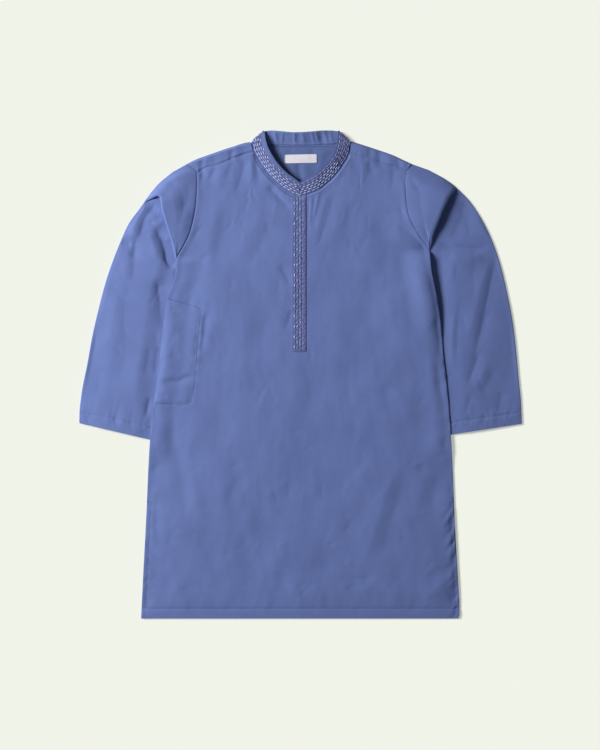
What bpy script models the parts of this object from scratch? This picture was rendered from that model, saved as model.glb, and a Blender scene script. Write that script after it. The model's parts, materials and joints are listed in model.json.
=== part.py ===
"""A kurta tunic in light cotton, laid flat with its front up.

It is made as it is cut and sewn: a front, a back, a shoulder yoke that folds over from the back
to the front, two sleeves, a band collar, a placket, a pocket bag and a neck label.
The hem is towards -Y, the collar towards +Y, and the cloth rests on the plane z = 0.
The wearer's right is at -X. Tables are in millimetres; MM turns them into metres.
Each piece is a grid of points on its outer face and one on its inner face, joined round its edges.
"""

import bpy
import numpy as np

MM = 0.001

# Walls: single cloth, turned-up hems, the doubled collar band, the placket strip and the label
CLOTH = 1.0
TURN_UP = 1.6
BAND = 2.0
STRIP = 1.6
TAPE = 0.6

# Air at the seams and between layers
SEAM_GAP = 0.5
LAYER_GAP = 0.6
LABEL_GAP = 0.4

# Heights of flattened folds and of the two panels lying together
LOFT = 5.6
FLAT_TUBE = 3.2
FLAT_CUFF = 4.2
SEAM_EDGE = 2 * CLOTH + LAYER_GAP
HEM_EDGE = 2 * TURN_UP + LAYER_GAP
SIDE_ROLL = 22.0
HEM_ROLL = 60.0
LIFT_FLAT = 14.0

# Body
HEM_Y = -499.0
HEM_DEPTH = 21.0

# Neck and placket
NECK_RIGHT_X = -97.0
NECK_LEFT_X = 101.5
CENTRE_X = -1.5
PLACKET_RIGHT_X = -17.5
PLACKET_LEFT_X = 12.3
PLACKET_END_Y = 45.5
COLLAR_FOLD = 2.8
LABEL_X = (-32.0, 33.4)
LABEL_Y = (432.0, 449.6)

# Shares of the armhole, from the shoulder fold down to the underarm: where the yoke ends in front
# and behind, and the rows that the panels and the sleeve rings have in common
YOKE_FRONT_SHARE = 0.0855
YOKE_BACK_SHARE = 0.27
RING_SHARES = (0, 0.022, YOKE_FRONT_SHARE, 0.17, YOKE_BACK_SHARE, 0.4, 0.53, 0.66, 0.78, 0.88, 0.95, 1)
PANEL_SHARES = (1, 0.95, 0.88, 0.78, 0.66, 0.53, 0.4, YOKE_BACK_SHARE, 0.17, YOKE_FRONT_SHARE)

# Each side of the body: its side seam and armhole as (y, distance from the centre line), how far the
# sleeve lying underneath lifts the side seam as (y, lift), and the width of the slope beside it
SIDES = {
    "right": {
        "sign": -1,
        "seam": ((HEM_Y, 326), (-409, 321.6), (-294, 315.5), (-179, 310.4), (-89, 303.4), (25, 288.2),
                 (127, 277), (157, 271.2), (176, 264.5), (195, 257), (219, 254.4), (232, 254.6), (238.2, 253.2)),
        "armhole": ((238.2, 253.2), (245.4, 249.1), (266, 236.8), (288.4, 226.5), (309, 220.4),
                    (331.5, 215.7), (352, 213.2), (372.5, 211.8), (395, 210.8), (413.5, 212.2), (429.9, 232.7)),
        "lift": ((-205, 0), (-185, 1.2), (-160, 4.0), (-145, 5.2), (-110, 5.2), (-90, 4.8), (0, 4.5),
                 (185, 4.5), (205, 4.4), (225, 4.2), (238.2, 0)),
        "lift_slope": 36.0,
    },
    "left": {
        "sign": 1,
        "seam": ((HEM_Y, 326), (-409, 321.6), (-294, 315.3), (-179, 310.6), (-122, 307.3), (-42, 300.9),
                 (33, 292.7), (104, 286.4), (188, 275.9), (206, 273.7), (243, 267), (253.5, 263.4)),
        "armhole": ((253.5, 263.4), (260, 260.1), (275.3, 248.3), (297.5, 234.5), (322.9, 221.8),
                    (341.7, 217.5), (367.2, 215), (389.3, 214.2), (415.8, 217.5), (431, 226.1)),
        "lift": ((-195, 0), (-175, 1.2), (-150, 4.0), (-133, 5.2), (-60, 5.2), (20, 6.0), (100, 7.5),
                 (160, 8.5), (200, 7.5), (222, 5.5), (239, 4.3), (253.5, 0)),
        "lift_slope": 50.0,
    },
}

# Height of the front along the armhole: (share, height)
ARMHOLE_HEIGHT = ((0, FLAT_TUBE), (0.05, 5.0), (YOKE_FRONT_SHARE, LOFT), (0.5, 6.2), (0.85, 4.8),
                  (1, FLAT_TUBE))

# Top edge of the front: yoke seam, neckline, yoke seam, as (x, y)
YOKE_SEAM_RIGHT = ((-211.2, 413.5), (-196.6, 422.5), (-175.9, 428.2), (-144.5, 440.1), (-120.7, 449.4),
                   (NECK_RIGHT_X, 456.5))
NECKLINE = ((NECK_RIGHT_X, 456.5), (-94.1, 451), (-88.4, 441.4), (-81.4, 430.5), (-71.5, 415.7),
            (-58.8, 401), (-45.1, 388.3), (-30.3, 376.6), (PLACKET_RIGHT_X, 368.4), (CENTRE_X, 363.5),
            (18.7, 369), (38.1, 377.4), (50, 386.4), (63.8, 398.1), (77.5, 413.9), (87.3, 427.6),
            (97, 443.2), (NECK_LEFT_X, 455.5))
YOKE_SEAM_LEFT = ((NECK_LEFT_X, 455.5), (142.5, 440.1), (169.7, 431.5), (200.5, 423.1), (217.5, 415.8))

# Top edge of the back, and of the whole garment: shoulder fold, back neckline, shoulder fold, as (x, y)
YOKE_SEAM_BACK = ((-212, 378), (217, 383))
SHOULDER_LINE = ((-232.7, 429.9), (-216.3, 438.5), (-179.4, 452), (-142.5, 464.5), (-101.5, 475),
                 (-85, 472.8), (-40, 471.4), (0, 471), (40, 472), (85, 474.4), (103, 476.5),
                 (115.8, 472.9), (152.7, 461), (189.6, 448.1), (208.1, 439.3), (226.1, 431))
NECK_FOLD_RIGHT_X = -101.5
NECK_FOLD_LEFT_X = 103.0

# Top edge of the collar as (x, y, height of the outer face): each front from the centre up, then the back
COLLAR_TOP_RIGHT = ((-1.8, 392.5, 10.0), (-12.7, 401, 10.8), (-25.4, 409.8, 11.4), (-37.3, 420.7, 11.8),
                    (-49, 434.4, 12), (-58.8, 449.2, 12), (-66.6, 464.7, 11.4), (-71.5, 481, 10.2),
                    (-73.6, 497, 9.0))
COLLAR_TOP_LEFT = ((-1.2, 392.5, 10.0), (13.7, 401.2, 10.6), (28.5, 409, 11.2), (42.2, 419.6, 11.6),
                   (53.9, 431.5, 12), (65, 446, 12), (72, 460.8, 11.4), (75.5, 480, 10.2), (76.6, 497, 9.0))
COLLAR_TOP_BACK = ((-73.6, 497, 3.4), (-60, 498.5, 5.4), (-45, 497.5, 9), (-13.3, 494.8, 13), (5.1, 495.2, 13.6),
                   (23.6, 496.6, 12.6), (50, 498.5, 8.6), (63, 498.5, 5.4), (76.6, 497, 3.4))
# Neck seam of the collar, from the front neckline's corners over the shoulder folds
COLLAR_SIDE_RIGHT = ((-97.4, 466, 7.0), (-97.6, 473.6, 7.2))
COLLAR_SIDE_LEFT = ((100, 466, 7.0), (99.2, 475.4, 7.2))
# Height of the band's outer face along the back neck seam: (distance from the centre line, height)
COLLAR_SEAM_BACK_HEIGHT = ((0, 0), (72, 0), (92, 1.6))

# Sleeve sections as (outer x, outer y, inner x, inner y, bow, height), x counted from the centre line:
# over the cap fold, then from its foot down to the cuff
SLEEVES = {
    "right": (
        (262, 413.5, 256, 236.2, -20, 6.8), (285, 395, 257, 232, -10, 8.5), (300, 380, 256.8, 227.5, -2, 10.5),
        (305, 375, 255.2, 221, -2, 4.8), (322, 349, 252, 211, 0, 5.6), (350.8, 309, 250.8, 198, 0, 6.4),
        (376.4, 251.5, 256, 178, 0, 6.6), (396.9, 194, 263.5, 146, 0, 6.6), (412.3, 136.7, 268.5, 110, 0, 6.4),
        (425.6, 79.3, 274, 65, 0, 6.2), (436, 22, 279.5, 12, 0, 6), (447.3, -35.5, 287, -45, 0, 5.6),
        (452, -77, 293.5, -111, 0, 5.4), (452.5, -99.6, 297, -136, 0, 5.2),
    ),
    "left": (
        (262, 418, 266.8, 250.8, -20, 7.5), (298, 398, 268.6, 246, -16, 10.5), (317.6, 383.5, 269, 241.2, -13, 14),
        (323.5, 377.5, 267.4, 235, -13, 5.0), (346, 354, 266, 226, -4, 6), (375.1, 309, 268, 210, 0, 6.6),
        (397, 260, 269, 190, 0, 6.8), (411, 216, 270.5, 165, 0, 6.6), (422.9, 165.4, 274.5, 125, 0, 6.6),
        (433.8, 108, 279, 75, 0, 6.4), (440.8, 50.6, 283.5, 25, 0, 6.2), (446, -6.8, 289, -28, 0, 5.8),
        (451, -60, 294, -82, 0, 5.5), (452.5, -101, 297, -125, 0, 5.2),
    ),
}
SLEEVE_ROLL = 0.8
BOW_SHAPE = 27 / 4  # makes the peak of share * (1 - share) ** 2 equal to 1
# How far the rings swing outward just before the underarm edge: (section, distance)
UNDERARM_SWING = ((0, 0), (1, 1), (2, 2), (3, 6), (4, 8), (5, 5), (6, 2), (7, 0))
SWING_SHAPE = 23.1  # makes the peak of share ** 8 * (1 - share) equal to 1
SLEEVE_OUTER_SLOPE = 26.0
SLEEVE_INNER_FLAT = 15.0
SLEEVE_INNER_SLOPE = 36.0

# Folds: (x and y of one end, x and y of the other, half width, height); a trough is negative
FRONT_FOLDS = (
    (-79, 335, -106, 238, 12, -1.3),
    (-60, 395, -28, 340, 10, -1.1),
    (28, 375, 16, 260, 10, 1.2),
    (-192, 158, -200, 45, 12, -1.0),
    (-235, -89, -247, -350, 14, -1.5),
    (152, -150, 136, -360, 20, 1.5),
    (95, -160, 60, -250, 24, -1.2),
    (20, 60, 110, -40, 26, -1.1),
    (-120, 60, -90, -150, 34, 1.3),
    (-40, -330, 150, -250, 30, 1.0),
    (-60, -440, 200, -380, 34, -1.4),
)
SLEEVE_FOLDS = {
    "right": (
        (-306, 355, -340, 285, 10, -2.0),
        (-330, 300, -350, 215, 12, -1.5),
        (-315, 200, -284, 70, 12, -1.2),
        (-400, 120, -385, -50, 22, 1.0),
    ),
    "left": (
        (395, 245, 350, 20, 16, -2.0),
        (330, 30, 322, -40, 10, -0.8),
        (410, 130, 420, -30, 20, 1.0),
    ),
}

# Pocket bag: the height in the garment of its top and bottom at the side seam and at its free edge,
# how far in from the side seam it starts and ends, and how much it raises the front
POCKET_TOP = (155.0, 139.0)
POCKET_BOTTOM = (-59.0, -62.0)
POCKET_INSETS = (7.0, 20.0, 32.0, 52.0, 74.0)
POCKET_RAISE = 0.9
POCKET_FADE = 9.0

# Grid of the body panels. Columns near a side seam: (inset, share of the rest of the way to the neck);
# the front's columns across the neck follow its curve, the back has fewer. Rows rise from the hem.
SIDE_COLUMNS = ((0, 0), (4, 0), (10, 0), (20, 0), (32, 0), (52, 0), (74, 0), (74, 0.5))
FRONT_COLUMNS = (NECK_RIGHT_X, -91, -81.4, -71.5, -58.8, -45.1, -30.3, PLACKET_RIGHT_X, CENTRE_X,
                 PLACKET_LEFT_X, 25, 38.1, 50, 63.8, 77.5, 87.3, 96, NECK_LEFT_X)
BACK_COLUMNS = (NECK_RIGHT_X, -50, 0, 50, NECK_LEFT_X)
LOWER_ROWS = (HEM_Y, HEM_Y + HEM_DEPTH, -462, -425, -385, -345, -305, -265, -230, -200, -170, -140, -110,
              -70, -30, 10, PLACKET_END_Y)
MIDDLE_STEPS = (0.2, 0.4, 0.6, 0.8, 0.93)
HEM_ROWS = (0, 1)

# Grid of the yoke: parts of the way from armhole to neck, columns across the back neck, the rows of the
# lower layer and of the front strips as shares of the armhole, and the turns of the shoulder fold in degrees
YOKE_PARTS = (0, 0.14, 0.34, 0.56, 0.78, 1)
YOKE_NECK_COLUMNS = (-85, -40, 0, 40, 85)
YOKE_LOWER_SHARES = (YOKE_BACK_SHARE, 0.17, YOKE_FRONT_SHARE, 0.022)
YOKE_UPPER_SHARES = (0.022, YOKE_FRONT_SHARE)
YOKE_TURNS = (-90, -40, 0, 40, 90)
YOKE_FOLD_SHARE = 0.0085

# Grids of the collar, the pocket bag and the sleeves
COLLAR_SIDE_POINTS = 14
COLLAR_BACK_POINTS = 11
COLLAR_STEPS = (0, 0.33, 0.67, 1)
POCKET_ROWS = 8
SLEEVE_FINE_TO = 3.0

SHARP_ANGLE = 35.0

SHADES = {  # base colour (linear) and roughness
    "cotton": ((0.145, 0.195, 0.445), 0.85),
    "band": ((0.150, 0.185, 0.430), 0.8),
    "tape": ((0.84, 0.83, 0.86), 0.75),
}


def through(rows, at):
    """A smooth curve through (position, value, ...) rows, read at the positions given; it never overshoots."""
    table = np.asarray(rows, float)
    at = np.clip(np.asarray(at, float), table[0, 0], table[-1, 0])
    step = np.diff(table[:, 0])
    slope = np.diff(table[:, 1:], axis=0) / step[:, None]
    tangent = np.zeros_like(table[:, 1:])
    before, after = slope[:-1], slope[1:]
    same_way = before * after > 0
    tangent[1:-1] = np.where(same_way, 2 * before * after / np.where(same_way, before + after, 1), 0)
    tangent[0], tangent[-1] = slope[0], slope[-1]
    i = np.clip(np.searchsorted(table[:, 0], at, side="right") - 1, 0, len(step) - 1)
    h, t = step[i][..., None], ((at - table[i, 0]) / step[i])[..., None]
    value = (
        (2 * t**3 - 3 * t**2 + 1) * table[i, 1:]
        + (t**3 - 2 * t**2 + t) * h * tangent[i]
        + (3 * t**2 - 2 * t**3) * table[i + 1, 1:]
        + (t**3 - t**2) * h * tangent[i + 1]
    )
    return value[..., 0] if value.shape[-1] == 1 else value


def by_share(points, shares):
    """Points at the given shares of the length, seen from above, of a smooth curve through the points."""
    points = np.asarray(points, float)
    along = np.concatenate([[0], np.cumsum(np.hypot(*np.diff(points[:, :2], axis=0).T))])
    return through(np.column_stack([along / along[-1], points]), shares)


def smooth(t):
    """An S-curve from 0 to 1."""
    t = np.clip(t, 0, 1)
    return t * t * (3 - 2 * t)


def roll(t):
    """A quarter round from 0 at an edge to 1."""
    return np.sqrt(1 - (1 - np.clip(t, 0, 1)) ** 2)


def folds_at(x, y, folds):
    """The heights of all the folds together: each is a bell across its line and fades at its ends."""
    total = np.zeros_like(x)
    for x0, y0, x1, y1, half_width, height in folds:
        run = np.hypot(x1 - x0, y1 - y0)
        ux, uy = (x1 - x0) / run, (y1 - y0) / run
        along = ((x - x0) * ux + (y - y0) * uy) / run
        across = (x - x0) * uy - (y - y0) * ux
        total += height * smooth(4 * along) * smooth(4 * (1 - along)) * np.exp(-((across / half_width) ** 2))
    return total


def edge_x(side, y):
    """Distance of the body's edge from the centre line: the armhole above the underarm, the side seam below."""
    underarm = side["armhole"][0][0]
    return np.where(y > underarm, through(side["armhole"], y), through(side["seam"], y))


def armhole_y(side, share):
    """The y of a share of the armhole, counted down from the shoulder fold."""
    underarm, shoulder = side["armhole"][0][0], side["armhole"][-1][0]
    return shoulder - np.asarray(share) * (shoulder - underarm)


def lift_at(x, y):
    """How far the body stands off the surface, over the sleeves tucked under its sides."""
    total = np.zeros_like(x)
    for side in SIDES.values():
        inside = edge_x(side, y) - side["sign"] * x
        total += through(side["lift"], y) * (1 - smooth((inside - LIFT_FLAT) / side["lift_slope"]))
    return total


def pocket_at(x, y):
    """How much the pocket bag raises the front."""
    inside = edge_x(SIDES["right"], y) + x
    top = POCKET_TOP[0] + (POCKET_TOP[1] - POCKET_TOP[0]) * inside / POCKET_INSETS[-1]
    within = smooth((POCKET_INSETS[-1] - inside) / POCKET_FADE) * smooth(inside / POCKET_FADE)
    return POCKET_RAISE * within * smooth((top - y) / POCKET_FADE) * smooth((y - POCKET_BOTTOM[1]) / POCKET_FADE)


def front_height(x, y):
    """Height of the front's outer face."""
    height = np.full_like(x, LOFT)
    calm = np.ones_like(x)
    for side in SIDES.values():
        underarm, shoulder = side["armhole"][0][0], side["armhole"][-1][0]
        inside = edge_x(side, y) - side["sign"] * x
        share = (shoulder - y) / (shoulder - underarm)
        edge = np.where(y > underarm, through(ARMHOLE_HEIGHT, share), SEAM_EDGE)
        height += (edge - LOFT) * (1 - roll(inside / SIDE_ROLL))
        calm *= smooth(inside / (2 * SIDE_ROLL))
    from_hem = y - HEM_Y
    height = HEM_EDGE + (height - HEM_EDGE) * smooth(from_hem / HEM_ROLL)
    calm *= smooth((from_hem - HEM_DEPTH) / HEM_ROLL)
    return height + lift_at(x, y) + pocket_at(x, y) + calm * folds_at(x, y, FRONT_FOLDS)


def material(shade):
    made = bpy.data.materials.get(shade)
    if made is None:
        colour, roughness = SHADES[shade]
        made = bpy.data.materials.new(shade)
        made.use_nodes = True
        principled = made.node_tree.nodes["Principled BSDF"]
        principled.inputs["Base Color"].default_value = (*colour, 1)
        principled.inputs["Roughness"].default_value = roughness
        principled.inputs["Metallic"].default_value = 0
    return made


def shell(name, outer, inner, shade, flip=False, closed=False, keep=None):
    """A cloth piece with a wall: two grids of points, its outer and inner face, joined round every edge.

    Both faces split their cells along the same diagonal, so the wall stays whole where a cell is twisted.
    flip turns the faces over, closed joins the last column to the first, keep masks the grid's cells.
    """
    rows, columns = outer.shape[:2]
    index = np.arange(rows * columns).reshape(rows, columns)
    if closed:
        index = np.concatenate([index, index[:, :1]], axis=1)
    cells = np.stack([index[:-1, :-1], index[:-1, 1:], index[1:, 1:], index[1:, :-1]], axis=-1)
    cells = cells.reshape(-1, 4) if keep is None else cells[keep]
    if flip:
        cells = cells[:, ::-1]
    used, cells = np.unique(cells, return_inverse=True)
    cells = cells.reshape(-1, 4)
    split = np.concatenate([cells[:, (0, 1, 2)], cells[:, (0, 2, 3)]])
    sides = {(int(i), int(j)) for cell in cells for i, j in zip(cell, np.roll(cell, -1))}
    far = len(used)
    rim = [(j, i, i + far, j + far) for i, j in sorted(sides) if (j, i) not in sides]
    points = np.concatenate([outer.reshape(-1, 3)[used], inner.reshape(-1, 3)[used]]) * MM
    mesh = bpy.data.meshes.new(name)
    mesh.from_pydata(points.tolist(), [], split.tolist() + (split[:, ::-1] + far).tolist() + rim)
    mesh.materials.append(material(shade))
    mesh.shade_smooth()
    mesh.set_sharp_from_angle(angle=np.radians(SHARP_ANGLE))
    piece = bpy.data.objects.new(name, mesh)
    garment.objects.link(piece)


def raised(points, rise):
    """The points moved straight up, by one height or by one for each row."""
    moved = points.copy()
    moved[..., 2] += np.reshape(rise, (-1, 1))
    return moved


def hemmed_walls(count, hem_rows):
    """The wall of each of count rows: a turn-up at the hem rows, single cloth elsewhere."""
    return np.where(np.isin(np.arange(count), hem_rows), TURN_UP, CLOTH)


def panel_grid(centre_columns, top_line, shares):
    """x and y of a body panel's points: level rows below, then rows that fan out to the top line."""
    right, left = SIDES["right"], SIDES["left"]
    insets = np.array(SIDE_COLUMNS, float)
    under_right, under_left = right["armhole"][0][0], left["armhole"][0][0]
    rows = []

    def columns_at(y_right, y_left):
        ends = np.array([-edge_x(right, y_right), edge_x(left, y_left)])
        start_right, start_left = ends[0] + insets[:, 0], ends[1] - insets[:, 0]
        right_part = start_right + insets[:, 1] * (NECK_RIGHT_X - start_right)
        left_part = start_left + insets[:, 1] * (NECK_LEFT_X - start_left)
        return np.concatenate([right_part, centre_columns, left_part[::-1]])

    def underarm_line(x):
        along = (x + edge_x(right, under_right)) / (edge_x(right, under_right) + edge_x(left, under_left))
        return under_right + np.clip(along, 0, 1) * (under_left - under_right)

    for y in LOWER_ROWS:
        x = columns_at(y, y)
        rows.append(np.stack([x, np.full_like(x, y)], axis=-1))
    for step in MIDDLE_STEPS:
        x = columns_at(*(PLACKET_END_Y + step * (under - PLACKET_END_Y) for under in (under_right, under_left)))
        rows.append(np.stack([x, PLACKET_END_Y + step * (underarm_line(x) - PLACKET_END_Y)], axis=-1))
    for share in shares:
        x = columns_at(armhole_y(right, share), armhole_y(left, share))
        part = (1 - share) / (1 - shares[-1])
        y = underarm_line(x) + part * (top_line(x) - underarm_line(x))
        y[0], y[-1] = armhole_y(right, share), armhole_y(left, share)
        rows.append(np.stack([x, y], axis=-1))
    return np.moveaxis(np.array(rows), -1, 0)


def front_top(x):
    """y of the front's top edge: yoke seam, neckline, yoke seam."""
    sides = np.where(x < NECK_RIGHT_X, through(YOKE_SEAM_RIGHT, x), through(YOKE_SEAM_LEFT, x))
    return np.where((x < NECK_RIGHT_X) | (x > NECK_LEFT_X), sides, through(NECKLINE, x))


def back_top(x):
    """y of the back's top edge."""
    return through(YOKE_SEAM_BACK, x)


def make_body():
    """The front, the back under it, the placket on it and the pocket bag between them."""
    x, y = panel_grid(FRONT_COLUMNS, front_top, PANEL_SHARES)
    front = np.stack([x, y, front_height(x, y)], axis=-1)
    shell("front_panel", front, raised(front, -hemmed_walls(len(front), HEM_ROWS)), "cotton")

    first = len(SIDE_COLUMNS) + FRONT_COLUMNS.index(PLACKET_RIGHT_X)
    last = len(SIDE_COLUMNS) + FRONT_COLUMNS.index(PLACKET_LEFT_X)
    strip = raised(front[len(LOWER_ROWS) - 1 :, first : last + 1], SEAM_GAP)
    shell("placket", raised(strip, STRIP), strip, "band")

    x, y = panel_grid(BACK_COLUMNS, back_top, PANEL_SHARES[: PANEL_SHARES.index(YOKE_BACK_SHARE) + 1])
    back = np.stack([x, y, lift_at(x, y)], axis=-1)
    shell("back_panel", back, raised(back, hemmed_walls(len(back), HEM_ROWS)), "cotton", flip=True)

    inset = np.array(POCKET_INSETS)
    across = inset / inset[-1]
    bottom = POCKET_BOTTOM[0] + across * (POCKET_BOTTOM[1] - POCKET_BOTTOM[0])
    top = POCKET_TOP[0] + across * (POCKET_TOP[1] - POCKET_TOP[0])
    y = bottom + np.linspace(0, 1, POCKET_ROWS)[:, None] * (top - bottom)
    x = inset - edge_x(SIDES["right"], y)
    bag = np.stack([x, y, lift_at(x, y) + CLOTH + LAYER_GAP], axis=-1)
    shell("pocket_bag", bag, raised(bag, CLOTH), "cotton", flip=True)


def make_yoke():
    """The yoke, from the back seam up over the shoulder folds to the front seam, and the label on it."""
    right, left = SIDES["right"], SIDES["left"]
    part_way = np.array(YOKE_PARTS)
    radius = FLAT_TUBE / 2

    def row(share, neck_right, neck_left):
        y_right, y_left = armhole_y(right, share), armhole_y(left, share)
        end_right, end_left = -edge_x(right, y_right), edge_x(left, y_left)
        from_right = end_right + part_way * (neck_right - end_right)
        from_left = end_left + part_way * (neck_left - end_left)
        return np.concatenate([from_right, YOKE_NECK_COLUMNS, from_left[::-1]]), y_right, y_left

    outer, inner = [], []

    def add(x, y, z, y_inner, z_inner):
        outer.append(np.stack([x, y, z], axis=-1))
        inner.append(np.stack([x, y_inner, z_inner], axis=-1))

    for share in YOKE_LOWER_SHARES:
        x, y_right, y_left = row(share, NECK_FOLD_RIGHT_X, NECK_FOLD_LEFT_X)
        low, high = back_top(x) + SEAM_GAP, through(SHOULDER_LINE, x) - radius
        y = low + (1 - share / YOKE_BACK_SHARE) * (high - low)
        if share < YOKE_BACK_SHARE:
            y[0], y[-1] = y_right, y_left
        add(x, y, np.zeros_like(x), y, np.full_like(x, CLOTH))
    for turn in np.radians(YOKE_TURNS):
        x, *_ = row((1 - np.cos(turn)) * YOKE_FOLD_SHARE, NECK_FOLD_RIGHT_X, NECK_FOLD_LEFT_X)
        at_neck = (x > NECK_FOLD_RIGHT_X + 1) & (x < NECK_FOLD_LEFT_X - 1)
        centre = through(SHOULDER_LINE, x) - np.where(at_neck, 0, radius)
        centre[0], centre[-1] = (side["armhole"][-1][0] - radius for side in (right, left))
        out, up = np.where(at_neck, 0, np.cos(turn)), np.sin(turn)
        add(x, centre + radius * out, np.full_like(x, radius * (1 + up)),
            centre + (radius - CLOTH) * out, np.full_like(x, radius + (radius - CLOTH) * up))
    for share in YOKE_UPPER_SHARES:
        part = share / YOKE_FRONT_SHARE
        x, y_right, y_left = row(
            share,
            NECK_FOLD_RIGHT_X + part * (NECK_RIGHT_X - NECK_FOLD_RIGHT_X),
            NECK_FOLD_LEFT_X + part * (NECK_LEFT_X - NECK_FOLD_LEFT_X),
        )
        high, low = through(SHOULDER_LINE, x) - radius, front_top(x) + SEAM_GAP
        y = high + part * (low - high)
        y[0], y[-1] = y_right, y_left
        z = FLAT_TUBE + (front_height(x, low) - FLAT_TUBE) * roll(part)
        if share == YOKE_FRONT_SHARE:
            y[0], y[-1] = y_right + SEAM_GAP, y_left + SEAM_GAP
        z[0], z[-1] = through(ARMHOLE_HEIGHT, share), through(ARMHOLE_HEIGHT, share)
        add(x, y, z, y, z - CLOTH)
    outer, inner = np.array(outer), np.array(inner)
    inner[:, 0, 0], inner[:, -1, 0] = -edge_x(right, inner[:, 0, 1]), edge_x(left, inner[:, -1, 1])
    keep = np.ones((outer.shape[0] - 1, outer.shape[1] - 1), bool)
    neck_cells = slice(len(part_way) - 1, len(part_way) + len(YOKE_NECK_COLUMNS))
    keep[len(YOKE_LOWER_SHARES) :, neck_cells] = False
    shell("yoke", outer, inner, "cotton", flip=True, keep=keep)

    x, y = np.meshgrid(np.linspace(*LABEL_X, 5), np.linspace(*LABEL_Y, 3))
    label = np.stack([x, y, np.full_like(x, CLOTH + LABEL_GAP)], axis=-1)
    shell("label", raised(label, TAPE), label, "tape")


def make_collar():
    """The band: up the right front, over the shoulder fold, along the back neck, and down the left front."""
    def front_seam(neckline, side, inward):
        points = np.array([(x, y, 0) for x, y in neckline], float)
        points[:, 2] = front_height(points[:, 0], points[:, 1]) + SEAM_GAP
        along = np.gradient(points[:, :2], axis=0)
        points[:, 0] -= inward * 2 * SEAM_GAP * along[:, 1] / np.hypot(*along.T)
        points[:, 1] += inward * 2 * SEAM_GAP * along[:, 0] / np.hypot(*along.T)
        return np.concatenate([points, np.array(side)])

    def fold(upper, lower, outward):
        turn = np.radians((40, 90, 140))[:, None]
        middle, half = (upper + lower) / 2, (upper - lower) / 2
        return middle + half * np.cos(turn) + COLLAR_FOLD * np.array(outward) * np.sin(turn)

    middle = [x for x, _ in NECKLINE].index(CENTRE_X)
    up, across = np.linspace(0, 1, COLLAR_SIDE_POINTS), np.linspace(0, 1, COLLAR_BACK_POINTS)
    seam_right = by_share(front_seam(NECKLINE[middle::-1], COLLAR_SIDE_RIGHT, -1), up)
    seam_left = by_share(front_seam(NECKLINE[middle:], COLLAR_SIDE_LEFT, 1), up)
    seam_right[0, 0], seam_left[0, 0] = CENTRE_X - SEAM_GAP, CENTRE_X + SEAM_GAP
    back_x = seam_right[-1, 0] + across * (seam_left[-1, 0] - seam_right[-1, 0])
    back_z = through(COLLAR_SEAM_BACK_HEIGHT, np.abs(back_x))
    seam_back = np.stack([back_x, through(SHOULDER_LINE, back_x) + 2 * SEAM_GAP, back_z], axis=-1)
    seam_back[0, :2], seam_back[-1, :2] = seam_right[-1, :2], seam_left[-1, :2]
    top_right, top_left = by_share(COLLAR_TOP_RIGHT, up), by_share(COLLAR_TOP_LEFT, up)
    top_back = by_share(COLLAR_TOP_BACK, across)

    def ring(right, back, left):
        return np.concatenate([
            right, fold(right[-1], back[0], (-0.74, 0.67, 0)), back,
            fold(left[-1], back[-1], (0.74, 0.67, 0))[::-1], left[::-1],
        ])

    seam, top = ring(seam_right, seam_back, seam_left), ring(top_right, top_back, top_left)
    outer = seam[:, None] + np.array(COLLAR_STEPS)[None, :, None] * (top - seam)[:, None]
    facing = np.cross(np.gradient(outer, axis=1), np.gradient(outer, axis=0))
    facing /= np.linalg.norm(facing, axis=-1, keepdims=True)
    shell("collar", outer, outer - BAND * facing, "band")


def inward_of(edge, far_edge):
    """Directions, seen from above, that point across a strip from one long edge towards the other."""
    along = np.gradient(edge, axis=0)
    across = np.stack([-along[:, 1], along[:, 0]], axis=-1) / np.hypot(*along.T)[:, None]
    return across * np.sign(np.sum(across * (far_edge - edge), axis=-1))[:, None]


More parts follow.
